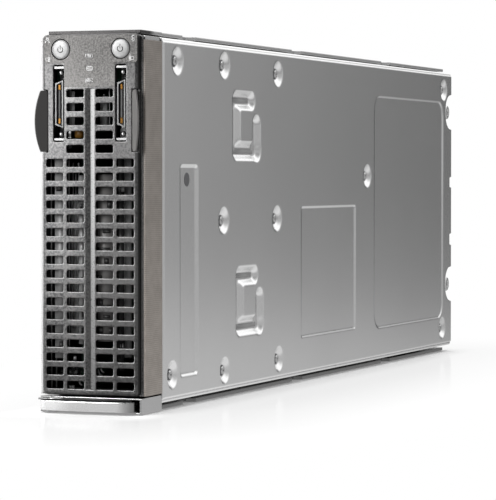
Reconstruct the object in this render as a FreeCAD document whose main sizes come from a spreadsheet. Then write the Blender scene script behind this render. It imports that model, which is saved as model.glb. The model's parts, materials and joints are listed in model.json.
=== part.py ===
import FreeCAD, Part
import os
import re

import Sketcher

# A double blade workstation standing upright on its lower guide rail.
# Millimetres; +Z up, front face towards -Y, origin under the middle of the envelope.
# Two mirrored halves share one housing: half "b" lies at +X and half "a" at -X.

SIZES = {
    # envelope, from the front of the lever to the rear edge of the pans
    "overall_width": 55.5,
    "overall_height": 181.7,
    "overall_depth": 508.7,
    # front to back positions
    "lever_reach": 6.45,
    "bezel_to_pan": 23.5,
    # sheet metal pans
    "sheet": 1.0,
    "bend_radius": 2.5,
    "pan_seam": 0.3,
    "rail_gap_top": 1.1,
    "rail_gap_low": 1.9,
    # screw dimples of a pan
    "dimple_rim": 7.2,
    "dimple_floor": 3.4,
    "dimple_depth": 2.0,
    # screws shared by the pans and the rear panel
    "screw_head": 2.8,
    "screw_head_height": 1.3,
    "screw_shank": 1.45,
    "screw_hole": 1.7,
    "standoff_radius": 3.0,
    "standoff_bore": 1.55,
    "standoff_height": 3.1,
    # C shaped embosses of a pan
    "hook_upper_start": 91.6,
    "hook_upper_low": 120.0,
    "hook_lower_start": 96.0,
    "hook_lower_low": 29.6,
    "hook_length": 40.0,
    "hook_height": 37.0,
    "hook_band": 11.0,
    "hook_arm": 12.0,
    "hook_gap": 1.0,
    "hook_upper_length": 32.0,
    "hook_depth": 3.0,
    "hook_slope": 46.0,
    "hook_corner": 3.0,
    # long strip recess with its round mark
    "strip_start": 21.4,
    "strip_length": 23.0,
    "strip_low": 14.4,
    "strip_height": 104.0,
    "strip_corner": 2.5,
    "strip_depth": 0.9,
    "mark_start": 30.4,
    "mark_height": 110.9,
    "mark_radius": 3.5,
    # small and large shallow rectangles
    "plate_start": 194.4,
    "plate_length": 92.0,
    "plate_low": 24.0,
    "plate_height": 72.0,
    "plate_corner": 1.5,
    "large_start": 321.0,
    "large_length": 139.5,
    "large_low": 22.0,
    "large_height": 138.2,
    "large_corner": 10.0,
    "shallow_depth": 0.5,
    "recess_slope": 55.0,
    # notches in the rear edge of a pan
    "notch_radius": 11.0,
    "notch_shift": 2.2,
    "notch_upper": 153.7,
    "notch_lower": 43.3,
    "notch_screw_inset": 8.2,
    "slit_depth": 3.6,
    "slit_height": 7.0,
    "slit_upper": 105.2,
    "slit_lower": 68.3,
    # guide rails above and below
    "rail_inset": 5.75,
    "rail_front_inset": 3.85,
    "rail_thickness": 1.7,
    "rail_setback": 5.7,
    "rail_front_length": 25.4,
    "rail_notch": 17.0,
    "rail_notch_depth": 4.0,
    "rail_notch_slope": 3.0,
    "rail_notch_first": 56.0,
    "rail_notch_pitch": 156.5,
    "rail_web_half": 19.0,
    "rail_tail_half": 6.0,
    "rail_tail_length": 112.0,
    # front frame and gaskets
    "frame_gap": 0.45,
    "frame_wall": 1.0,
    "frame_lift": 0.8,
    "frame_tongue": 4.0,
    "gasket_thickness": 1.0,
    "gasket_top_margin": 1.9,
    # bezel and its grille
    "bezel_inset": 2.75,
    "bezel_step": 3.35,
    "bezel_wall": 2.2,
    "bezel_lift": 0.7,
    "bezel_top_margin": 1.85,
    "bezel_corner": 1.2,
    "bezel_face_corner": 2.4,
    "bezel_round": 1.8,
    "bezel_liner": 9.0,
    "grille_low": 11.2,
    "slot_width": 9.05,
    "slot_height": 3.9,
    "slot_corner": 0.9,
    "slot_pitch": 6.606,
    "inner_column": 3.04,
    "outer_column": 13.78,
    "groove_half": 2.5,
    "groove_depth": 1.5,
    "groove_low": 11.0,
    "groove_high": 154.0,
    # control plate and power buttons
    "control_left_inset": 1.3,
    "control_right_inset": 0.3,
    "control_corner": 1.5,
    "control_low": 166.15,
    "control_stem_half": 13.1,
    "control_stem_low": 154.9,
    "control_margin": 0.3,
    "control_thickness": 0.2,
    "button_x": 15.5,
    "button_shift": 0.5,
    "button_z": 172.74,
    "button_radius": 4.7,
    "button_clearance": 0.3,
    "button_proud": 0.25,
    "button_length": 4.0,
    "button_stem": 1.6,
    "button_travel": 1.2,
    "indicator_radius": 0.9,
    "indicator_pitch": 5.8,
    "indicator_low": 157.9,
    # cable connectors
    "port_x": 16.12,
    "port_width": 5.75,
    "port_low": 128.8,
    "port_height": 36.6,
    "port_corner": 1.0,
    "shell_width": 4.3,
    "shell_low": 135.4,
    "shell_height": 22.8,
    "shell_wall": 0.8,
    "shell_slant": 1.5,
    "shell_setback": 0.4,
    "shell_depth": 9.0,
    "insert_setback": 1.6,
    "insert_gap": 0.05,
    "tongue_width": 0.9,
    "tongue_length": 13.0,
    "contact_rows": 17,
    "contact_pitch": 0.74,
    "contact_width": 0.36,
    "contact_thickness": 0.2,
    "blade_width": 1.3,
    "blade_height": 2.4,
    "blade_offset": 8.0,
    "lip_height": 1.1,
    "lip_setback": 0.5,
    "lip_margin": 0.7,
    "lip_side_gap": 0.3,
    "jack_offset": 14.6,
    "jack_radius": 1.5,
    "jack_setback": 2.0,
    "jack_bore": 0.8,
    "bracket_thickness": 1.0,
    "bracket_setback": 7.4,
    # label tabs
    "tab_inset": 5.75,
    "tab_thickness": 1.0,
    "tab_low": 125.2,
    "tab_height": 27.0,
    "tab_length": 56.0,
    "tab_travel": 40.0,
    "tab_clearance": 0.35,
    "wing_height": 29.1,
    "wing_width": 6.2,
    "wing_bulge": 2.9,
    "wing_thickness": 0.8,
    "wing_angle": 45.0,
    "wing_recess": 2.2,
    # release lever and its housing
    "housing_inset": 0.75,
    "housing_height": 7.6,
    "housing_corner": 4.0,
    "housing_lip": 0.9,
    "housing_floor": 0.9,
    "housing_roof": 0.55,
    "housing_floor_setback": 2.8,
    "housing_boss": 2.6,
    "housing_wall": 1.0,
    "housing_back": 12.0,
    "lever_gap": 0.3,
    "lever_head_gap": 1.15,
    "lever_bow": 130.0,
    "lever_depth": 12.4,
    "lever_inset": 3.0,
    "lever_corner": 4.5,
    "pivot_inset": 6.6,
    "pivot_setback": 6.95,
    "hub_radius": 5.3,
    "pin_radius": 1.5,
    "pin_clearance": 0.05,
    "latch_width": 3.6,
    "latch_height": 4.0,
    "latch_length": 9.0,
    "latch_proud": 3.0,
    "latch_travel": 1.5,
    "latch_gap": 0.4,
    # system boards and what sits on them
    "board_thickness": 1.6,
    "board_start": 14.0,
    "board_length": 424.0,
    "board_low": 8.6,
    "board_height": 166.0,
    "processor_size": 38.0,
    "processor_height": 3.2,
    "processor_y": -40.0,
    "processor_z": 74.0,
    "cooler_length": 96.0,
    "cooler_width": 84.0,
    "cooler_base": 3.0,
    "cooler_height": 15.4,
    "fin_thickness": 0.6,
    "fin_pitch": 2.8,
    "socket_length": 142.0,
    "socket_width": 6.4,
    "socket_height": 6.5,
    "socket_slot": 1.6,
    "socket_slot_depth": 4.0,
    "socket_first_z": 129.0,
    "socket_pitch": 9.4,
    "socket_y": -112.0,
    "module_length": 133.4,
    "module_height": 16.8,
    "module_thickness": 1.3,
    "chipset_size": 40.0,
    "chipset_height": 9.0,
    "chipset_y": 75.0,
    "chipset_z": 140.0,
    "card_start": 60.0,
    "card_length": 96.0,
    "card_low": 30.0,
    "card_height": 82.0,
    "card_thickness": 1.4,
    "card_lift": 8.0,
    "card_cooler_height": 8.6,
    "mezzanine_length": 40.0,
    "mezzanine_width": 6.0,
    # drives behind the grille
    "drive_length": 100.2,
    "drive_height": 69.9,
    "drive_thickness": 9.5,
    "drive_start": 14.5,
    "drive_low": 34.0,
    "drive_a_x": -19.3,
    "drive_b_x": 2.3,
    "drive_rail": 3.0,
    "drive_foot": 9.0,
    # rear end
    "rear_plate": 1.2,
    "rear_head": 4.5,
    "rear_tab_half": 3.4,
    "rear_tab_end": 3.0,
    "rear_notch_room": 0.8,
    "rear_inset": 2.4,
    "rear_gap": 0.3,
    "rear_flange": 13.0,
    "rear_flange_low": 26.0,
    "rear_flange_high": 158.0,
    "coupler_inset": 36.0,
    "coupler_half": 17.0,
    "coupler_low": 20.0,
    "coupler_height": 140.0,
    "coupler_socket": 8.0,
    "coupler_socket_height": 60.0,
    "coupler_gap": 0.2,
    "signal_half": 12.0,
    "signal_low": 88.0,
    "signal_height": 58.0,
    "power_half": 9.0,
    "power_low": 30.0,
    "power_height": 40.0,
    "connector_reach": 1.6,
    "vent_width": 10.0,
    "vent_height": 3.2,
    "vent_pitch": 6.2,
    # circuit board behind the control plate
    "control_board_setback": 8.6,
    "control_board_half": 21.0,
    "switch_size": 4.0,
    "switch_clearance": 0.3,
    # clearance between sheet metal and moulded pieces that slide into each other
    "fit_gap": 0.3,
}

# dimples by name: distance behind the front edge of the pan, and height
DIMPLES = {
    "front_top": (18.2, 168.3),
    "middle_top": (80.2, 168.6),
    "back_top": (157.7, 167.0),
    "middle_mid": (79.1, 90.1),
    "back_mid": (156.3, 90.0),
    "front_low": (11.9, 16.6),
    "middle_low": (80.8, 14.0),
    "back_low": (159.5, 14.8),
    "centre": (307.8, 112.7),
    "rear_top": (461.8, 167.6),
    "rear_low": (459.4, 15.5),
}
for dimple, (along, up) in DIMPLES.items():
    SIZES[f"dimple_{dimple}_y"] = along
    SIZES[f"dimple_{dimple}_z"] = up

INNER_ROWS = 22
OUTER_ROWS = 17
RAIL_NOTCHES = 3
MODULES = 4
VENT_ROWS = 8

doc = FreeCAD.newDocument("blade_workstation")
sheet = doc.addObject("Spreadsheet::Sheet", "dims")
for row, (size_name, size) in enumerate(SIZES.items(), 1):
    sheet.set(f"A{row}", size_name)
    sheet.set(f"B{row}", str(size))
    sheet.setAlias(f"B{row}", size_name)
doc.recompute()

# Shared positions, as expressions over the named sizes
HALF = "overall_width / 2"
FRONT = "-overall_depth / 2"
REAR = "overall_depth / 2"
FRAME_HALF = f"({HALF} - sheet - frame_gap)"
BEZEL_HALF = f"({HALF} - bezel_inset)"
RAIL_HALF = f"({HALF} - rail_inset)"
RAIL_FRONT_HALF = f"({HALF} - rail_front_inset)"
HOUSING_HALF = f"({HALF} - housing_inset)"
TAB_X = f"({HALF} - tab_inset)"
LEVER_RIGHT = f"({HOUSING_HALF} - lever_inset)"
PIVOT_X = f"(pivot_inset - {HOUSING_HALF})"
FACE = f"({FRONT} + lever_reach)"
PAN_FRONT = f"({FACE} + bezel_to_pan)"
PAN_LOW = "(rail_thickness + rail_gap_low)"
PAN_HIGH = "(overall_height - rail_thickness - rail_gap_top)"
STEP = f"({FACE} + bezel_step)"
BEZEL_BACK = f"({STEP} + bezel_wall)"
BEZEL_LOW = "(housing_height + bezel_lift)"
BEZEL_HIGH = "(overall_height - bezel_top_margin)"
FRAME_LOW = "(housing_height + frame_lift)"
DIMPLE_SEAT = f"({HALF} - dimple_depth)"
STANDOFF_END = f"({HALF} - dimple_depth - sheet - standoff_height)"
BOARD_TOP = f"({STANDOFF_END} - board_thickness)"
BOARD_FRONT = f"({PAN_FRONT} + board_start)"
REAR_FACE = f"({REAR} - rear_inset)"
REAR_BACK = f"({REAR_FACE} - rear_plate)"
COUPLER = f"({REAR} - coupler_inset)"
TONGUE_HIGH = f"({PAN_HIGH} - sheet - fit_gap)"
LINER_HIGH = f"({TONGUE_HIGH} - frame_wall - fit_gap)"


def dims(text):
    """Return an expression with every size name turned into its cell."""
    def cell(word):
        return f"dims.{word.group(0)}" if word.group(0) in SIZES else word.group(0)

    return re.sub(r"[a-z_]+", cell, text)


def value(text):
    """Work out an expression with the sheet's present sizes."""
    return float(sheet.evalExpression(dims(text)))


def place(piece, at):
    """Bind the position of a piece to three expressions."""
    for axis, expression in zip("xyz", at):
        piece.setExpression(f".Placement.Base.{axis}", dims(expression))


def box(name, x, y, z):
    """Block between pairs of low and high expressions."""
    piece = doc.addObject("Part::Box", name)
    for side, (low, high) in zip(("Length", "Width", "Height"), (x, y, z)):
        piece.setExpression(side, dims(f"({high}) - ({low})"))
    place(piece, (x[0], y[0], z[0]))
    return piece


TURNS = {
    "x": FreeCAD.Rotation(FreeCAD.Vector(0, 1, 0), 90),
    "y": FreeCAD.Rotation(FreeCAD.Vector(1, 0, 0), -90),
    "z": FreeCAD.Rotation(),
}


def rod(name, axis, start, length, radius):
    """Cylinder along an axis from its start point."""
    piece = doc.addObject("Part::Cylinder", name)
    piece.Placement = FreeCAD.Placement(FreeCAD.Vector(), TURNS[axis])
    piece.setExpression("Radius", dims(radius))
    piece.setExpression("Height", dims(length))
    place(piece, start)
    return piece


def cone(name, axis, start, length, first, last):
    """Cone along an axis from radius first to radius last."""
    piece = doc.addObject("Part::Cone", name)
    piece.Placement = FreeCAD.Placement(FreeCAD.Vector(), TURNS[axis])
    piece.setExpression("Radius1", dims(first))
    piece.setExpression("Radius2", dims(last))
    piece.setExpression("Height", dims(length))
    place(piece, start)
    return piece


def fuse(name, pieces):
    """Join pieces into one solid."""
    piece = doc.addObject("Part::MultiFuse", name)
    piece.Shapes = pieces
    return piece


def group(name, pieces):
    """Keep separate solids together."""
    piece = doc.addObject("Part::Compound", name)
    piece.Links = pieces
    return piece


def cut(name, base, tools):
    """Take tools away from a base."""
    tool = tools[0]
    if len(tools) > 1:
        tool = fuse(f"{name}_tools", tools)
    piece = doc.addObject("Part::Cut", name)
    piece.Base = base
    piece.Tool = tool
    return piece


def common(name, base, tool):
    """Keep what two pieces share."""
    piece = doc.addObject("Part::Common", name)
    piece.Base = base
    piece.Tool = tool
    return piece


def mirror(name, source):
    """Mirror a piece to the other half."""
    piece = doc.addObject("Part::Mirroring", name)
    piece.Source = source
    piece.Normal = FreeCAD.Vector(1, 0, 0)
    return piece


def both_sides(name, pieces):
    """One node of equal solids: those of half b and their mirror images."""
    return group(name, pieces + [mirror(f"{piece.Label}_opposite", piece) for piece in pieces])


def round_edges(name, base, radius, wanted):
    """Fillet the edges of a piece for which wanted(edge) is true."""
    doc.recompute()
    piece = doc.addObject("Part::Fillet", name)
    piece.Base = base
    size = value(radius)
    piece.Edges = [(i, size, size) for i, edge in enumerate(base.Shape.Edges, 1) if wanted(edge)]
    return piece


def along_axis(edge, axis):
    """True for a straight edge that runs along one axis."""
    if len(edge.Vertexes) != 2:
        return False
    direction = edge.Vertexes[1].Point - edge.Vertexes[0].Point
    return abs(abs(direction[axis]) - direction.Length) < 1e-6


def leaves_side_plane(edge):
    """True for an edge that is not parallel to the side of a pan."""
    return abs(edge.Vertexes[1].X - edge.Vertexes[0].X) > 1e-6


def new_sketch(body, role):
    """Sketch on one of the body's own origin planes."""
    sketch = body.newObject("Sketcher::SketchObject", f"{body.Name}_sketch")
    plane = [feature for feature in body.Origin.OriginFeatures if feature.Role == role][0]
    sketch.AttachmentSupport = [(plane, "")]
    sketch.MapMode = "FlatFace"
    return sketch


def fix(sketch, kind, first, first_end, last, last_end, expression):
    """Add a driving distance bound to an expression."""
    number = sketch.addConstraint(
        Sketcher.Constraint(kind, first, first_end, last, last_end, value(expression)))
    sketch.setExpression(f"Constraints[{number}]", dims(expression))


def draw_polygon(sketch, points):
    """Closed outline through points given as pairs of expressions."""
    corners = [FreeCAD.Vector(value(u), value(v), 0) for u, v in points]
    count = len(corners)
    for i in range(count):
        sketch.addGeometry(Part.LineSegment(corners[i], corners[(i + 1) % count]), False)
    for i in range(count):
        sketch.addConstraint(Sketcher.Constraint("Coincident", i, 2, (i + 1) % count, 1))
    for i, (u, v) in enumerate(points):
        fix(sketch, "DistanceX", -1, 1, i, 1, u)
        fix(sketch, "DistanceY", -1, 1, i, 1, v)


def draw_rounded(sketch, u, v, radius):
    """Rectangle between expression pairs u and v, with round corners."""
    left, right = value(u[0]), value(u[1])
    low, high = value(v[0]), value(v[1])
    size = value(radius)
    first = sketch.GeometryCount
    runs = (
        ((left + size, low), (right - size, low)),
        ((right, low + size), (right, high - size)),
        ((right - size, high), (left + size, high)),
        ((left, high - size), (left, low + size)),
    )
    for start, end in runs:
        sketch.addGeometry(Part.LineSegment(FreeCAD.Vector(*start, 0), FreeCAD.Vector(*end, 0)), False)
    centres = (
        (right - size, low + size, 270),
        (right - size, high - size, 0),
        (left + size, high - size, 90),
        (left + size, low + size, 180),
    )
    for x, y, turn in centres:
        circle = Part.Circle(FreeCAD.Vector(x, y, 0), FreeCAD.Vector(0, 0, 1), size)
        start = FreeCAD.Units.parseQuantity(f"{turn} deg").getValueAs("rad").Value
        quarter = FreeCAD.Units.parseQuantity("90 deg").getValueAs("rad").Value
        sketch.addGeometry(Part.ArcOfCircle(circle, start, start + quarter), False)
    for i in range(4):
        line = first + i
        arc = first + 4 + i
        following = first + (i + 1) % 4
        sketch.addConstraint(Sketcher.Constraint("Tangent", line, 2, arc, 1))
        sketch.addConstraint(Sketcher.Constraint("Tangent", arc, 2, following, 1))
    for i, direction in enumerate(("Horizontal", "Vertical", "Horizontal", "Vertical")):
        sketch.addConstraint(Sketcher.Constraint(direction, first + i))
    for i in range(1, 4):
        sketch.addConstraint(Sketcher.Constraint("Equal", first + 4, first + 4 + i))
    number = sketch.addConstraint(Sketcher.Constraint("Radius", first + 4, size))
    sketch.setExpression(f"Constraints[{number}]", dims(radius))
    fix(sketch, "DistanceX", -1, 1, first + 3, 1, u[0])
    fix(sketch, "DistanceX", -1, 1, first + 1, 1, u[1])
    fix(sketch, "DistanceY", -1, 1, first, 1, v[0])
    fix(sketch, "DistanceY", -1, 1, first + 2, 1, v[1])


NORMALS = {"XY_Plane": ("z", False), "XZ_Plane": ("y", True), "YZ_Plane": ("x", False)}


def prism(name, role, draw, span, taper="0"):
    """Pad an outline between two expressions along its plane's axis."""
    axis, turned = NORMALS[role]
    body = doc.addObject("PartDesign::Body", name)
    sketch = new_sketch(body, role)
    draw(sketch)
    pad = body.newObject("PartDesign::Pad", f"{name}_pad")
    pad.Profile = sketch
    pad.Reversed = turned
    pad.setExpression("Length", dims(f"({span[1]}) - ({span[0]})"))
    pad.setExpression("TaperAngle", dims(taper))
    body.setExpression(f".Placement.Base.{axis}", dims(span[0]))
    return body


def slab(name, role, u, v, radius, span, taper="0"):
    """Block with round corners."""
    return prism(name, role, lambda sketch: draw_rounded(sketch, u, v, radius), span, taper)


def fins(name, x, y, z, pitch):
    """Thin plates along Y, stacked in Z with a given pitch between two heights."""
    count = int((value(z[1]) - value(z[0]) - value("fin_thickness")) / value(pitch)) + 1
    return [
        box(f"{name}_{i}", x, y, (f"{z[0]} + {i} * {pitch}", f"{z[0]} + {i} * {pitch} + fin_thickness"))
        for i in range(count)
    ]


def hook_outline(start, low):
    """Floor of the C shaped emboss: its rim drawn in by the spread of the sloped walls."""
    spread = "hook_depth * tan(hook_slope * 1 deg)"
    front = f"{PAN_FRONT} + {start} + {spread}"
    back = f"{PAN_FRONT} + {start} + hook_length - {spread}"
    arm = f"{PAN_FRONT} + {start} + hook_length - hook_arm + {spread}"
    band = f"{PAN_FRONT} + {start} + hook_band - {spread}"
    finger = f"{PAN_FRONT} + {start} + hook_upper_length - {spread}"
    low_band = f"{low} + hook_band - {spread}"
    high_band = f"{low} + hook_height - hook_band + {spread}"
    arm_top = f"{low} + hook_height - hook_band - hook_gap - {spread}"
    bottom = f"{low} + {spread}"
    top = f"{low} + hook_height - {spread}"
    return [
        (front, bottom),
        (back, bottom),
        (back, arm_top),
        (arm, arm_top),
        (arm, low_band),
        (band, low_band),
        (band, high_band),
        (finger, high_band),
        (finger, top),
        (front, top),
    ]


def dimple_at(name):
    """Position of a dimple as Y and Z expressions."""
    return f"({PAN_FRONT} + dimple_{name}_y)", f"dimple_{name}_z"


def make_pan():
    """Side pan of half b: a channel with formed dimples, embosses and rear notches."""
    inner_x = f"({HALF} - sheet)"
    outer = box("pan_outer", ("pan_seam / 2", HALF), (PAN_FRONT, REAR), (PAN_LOW, PAN_HIGH))
    side = value(HALF)

    def bend(edge):
        return along_axis(edge, 1) and edge.Vertexes[0].X > side / 2

    outer = round_edges("pan_outer_bends", outer, "bend_radius", bend)
    inner = box(
        "pan_inner",
        ("-sheet", inner_x),
        (f"{PAN_FRONT} - sheet", f"{REAR} + sheet"),
        (f"{PAN_LOW} + sheet", f"{PAN_HIGH} - sheet"))
    inner = round_edges("pan_inner_bends", inner, "bend_radius - sheet", bend)
    channel = cut("pan_channel", outer, [inner])
    added = []
    removed = []
    for name in DIMPLES:
        y, z = dimple_at(name)
        added.append(cone(
            f"bump_{name}", "x", (f"{DIMPLE_SEAT} - sheet", y, z), "dimple_depth + sheet / 2",
            "dimple_floor + sheet", "dimple_rim + sheet / 2"))
        removed.append(cone(
            f"dimple_{name}", "x", (DIMPLE_SEAT, y, z), "dimple_depth", "dimple_floor", "dimple_rim"))
        removed.append(rod(
            f"hole_{name}", "x", (f"{DIMPLE_SEAT} - 2 * sheet", y, z), "3 * sheet", "screw_hole"))
    for name, start, low in (
            ("upper", "hook_upper_start", "hook_upper_low"),
            ("lower", "hook_lower_start", "hook_lower_low")):
        along = f"({PAN_FRONT} + {start})"
        block = box(
            f"hook_block_{name}",
            (f"{inner_x} - hook_depth", f"{inner_x} + sheet / 2"),
            (f"{along} - sheet", f"{along} + hook_length + sheet"),
            (f"{low} - sheet", f"{low} + hook_height + sheet"))
        hollow = box(
            f"hook_island_{name}",
            (f"{inner_x} - 2 * hook_depth", inner_x),
            (f"{along} + hook_band + sheet", f"{along} + hook_length - hook_arm - sheet"),
            (f"{low} + hook_band + sheet", f"{low} + hook_height - hook_band - sheet"))
        added.append(cut(f"hook_bump_{name}", block, [hollow]))
        points = hook_outline(start, low)
        recess = prism(
            f"hook_recess_{name}", "YZ_Plane", lambda sketch: draw_polygon(sketch, points),
            (f"{HALF} - hook_depth", HALF), "hook_slope")
        removed.append(round_edges(f"hook_rounded_{name}", recess, "hook_corner", leaves_side_plane))
    for name, depth in (("strip", "strip_depth"), ("plate", "shallow_depth"), ("large", "shallow_depth")):
        along = f"({PAN_FRONT} + {name}_start)"
        spread = f"{depth} * tan(recess_slope * 1 deg)"
        removed.append(slab(
            f"{name}_recess", "YZ_Plane",
            (f"{along} + {spread}", f"{along} + {name}_length - {spread}"),
            (f"{name}_low + {spread}", f"{name}_low + {name}_height - {spread}"),
            f"{name}_corner", (f"{HALF} - {depth}", HALF), "recess_slope"))
    removed.append(rod(
        "strip_hole", "x", (f"{inner_x} - sheet", f"{PAN_FRONT} + mark_start", "mark_height"),
        "3 * sheet", "mark_radius"))
    for name in ("upper", "lower"):
        removed.append(rod(
            f"notch_{name}", "x", (f"{inner_x} - sheet", f"{REAR} - notch_shift", f"notch_{name}"),
            "3 * sheet", "notch_radius"))
        removed.append(box(
            f"notch_mouth_{name}", (f"{inner_x} - sheet", f"{HALF} + sheet"),
            (f"{REAR} - notch_shift", f"{REAR} + sheet"),
            (f"notch_{name} - notch_radius", f"notch_{name} + notch_radius")))
        removed.append(box(
            f"slit_{name}", (f"{inner_x} - sheet", f"{HALF} + sheet"),
            (f"{REAR} - slit_depth", f"{REAR} + sheet"), (f"slit_{name}", f"slit_{name} + slit_height")))
    formed = fuse("pan_formed", [channel] + added)
    return cut("right_pan", formed, removed)


def rail_outline():
    """Plan of a guide rail: a broad front end, then notches along both edges."""
    start = f"({FACE} + rail_setback)"
    shoulder = f"({start} + rail_front_length)"
    right = [(RAIL_FRONT_HALF, start), (RAIL_FRONT_HALF, shoulder), (RAIL_HALF, shoulder)]
    for i in range(RAIL_NOTCHES):
        near = f"({start} + rail_notch_first + {i} * rail_notch_pitch)"
        right += [
            (RAIL_HALF, near),
            (f"{RAIL_HALF} - rail_notch_depth", f"{near} + rail_notch_slope"),
            (f"{RAIL_HALF} - rail_notch_depth", f"{near} + rail_notch - rail_notch_slope"),
            (RAIL_HALF, f"{near} + rail_notch"),
        ]
    right.append((RAIL_HALF, REAR))
    left = [(f"-({x})", y) for x, y in reversed(right)]
    return right + left


def make_rail(name, plate, web):
    """Guide rail: a notched plate on a broad web that narrows at the tail."""
    start = f"({FACE} + rail_setback)"
    tail = f"({REAR} - rail_tail_length)"
    sheet_plate = prism(
        f"{name}_plate", "XY_Plane", lambda sketch: draw_polygon(sketch, rail_outline()), plate)
    notch_half = f"{RAIL_HALF} - rail_notch_depth - 1"
    broad = box(f"{name}_web", (f"-({notch_half})", notch_half), (start, tail), web)
    narrow = box(f"{name}_tail", ("-rail_tail_half", "rail_tail_half"), (tail, REAR), web)
    return [sheet_plate, broad, narrow]


def make_rails():
    """Upper and lower guide rails; the lower one leaves room for the lever housing."""
    upper = fuse("top_guide_rail", make_rail(
        "top_rail", ("overall_height - rail_thickness", "overall_height"),
        (PAN_HIGH, "overall_height - rail_thickness")))
    whole = fuse("bottom_rail_whole", make_rail(
        "bottom_rail", ("0", "rail_thickness"), ("rail_thickness", PAN_LOW)))
    room = box("bottom_rail_room", (f"-{HALF}", HALF), (FRONT, PAN_FRONT), ("-sheet", FRAME_LOW))
    return [upper, cut("bottom_guide_rail", whole, [room])]


def make_frame():
    """Sheet frame behind the bezel, with a tongue that enters the pans."""
    tongue_end = f"({PAN_FRONT} + frame_tongue)"
    outer = box("frame_outer", (f"-{FRAME_HALF}", FRAME_HALF), (BEZEL_BACK, PAN_FRONT), (FRAME_LOW, PAN_HIGH))
    tongue = slab(
        "frame_tongue_block", "XZ_Plane", (f"-{FRAME_HALF}", FRAME_HALF), (FRAME_LOW, TONGUE_HIGH),
        "bend_radius", (PAN_FRONT, tongue_end))
    bore = box(
        "frame_bore", (f"-{FRAME_HALF} + frame_wall", f"{FRAME_HALF} - frame_wall"),
        (f"{BEZEL_BACK} - 1", f"{tongue_end} + 1"),
        (f"{FRAME_LOW} + frame_wall", f"{TONGUE_HIGH} - frame_wall"))
    return cut("front_frame", fuse("frame_block", [outer, tongue]), [bore])


def make_gasket():
    """Conductive strip on the side of the front frame."""
    return box(
        "emi_gasket_right", (FRAME_HALF, f"{FRAME_HALF} + gasket_thickness"),
        (STEP, PAN_FRONT), (FRAME_LOW, f"{PAN_HIGH} - gasket_top_margin"))


def grille_slots():
    """Cutters of the four columns of air slots."""
    cutters = []
    for rows, column, label in ((INNER_ROWS, "inner_column", "inner"), (OUTER_ROWS, "outer_column", "outer")):
        for side, low, high in (
                ("b", column, f"{column} + slot_width"),
                ("a", f"-({column} + slot_width)", f"-({column})")):
            body = slab(
                f"{label}_slot_{side}", "XZ_Plane", (low, high), ("grille_low", "grille_low + slot_height"),
                "slot_corner", (f"{FACE} - 1", f"{BEZEL_BACK} + 1"))
            doc.recompute()
            pattern = body.newObject("PartDesign::LinearPattern", f"{label}_rows_{side}")
            pattern.Originals = [body.Group[1]]
            axis = [feature for feature in body.Origin.OriginFeatures if feature.Role == "Z_Axis"][0]
            pattern.Direction = (axis, [""])
            pattern.Mode = "Extent"
            pattern.setExpression("Length", dims(f"{rows - 1} * slot_pitch"))
            pattern.Occurrences = rows
            body.Tip = pattern
            cutters.append(body)
    return cutters


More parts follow.
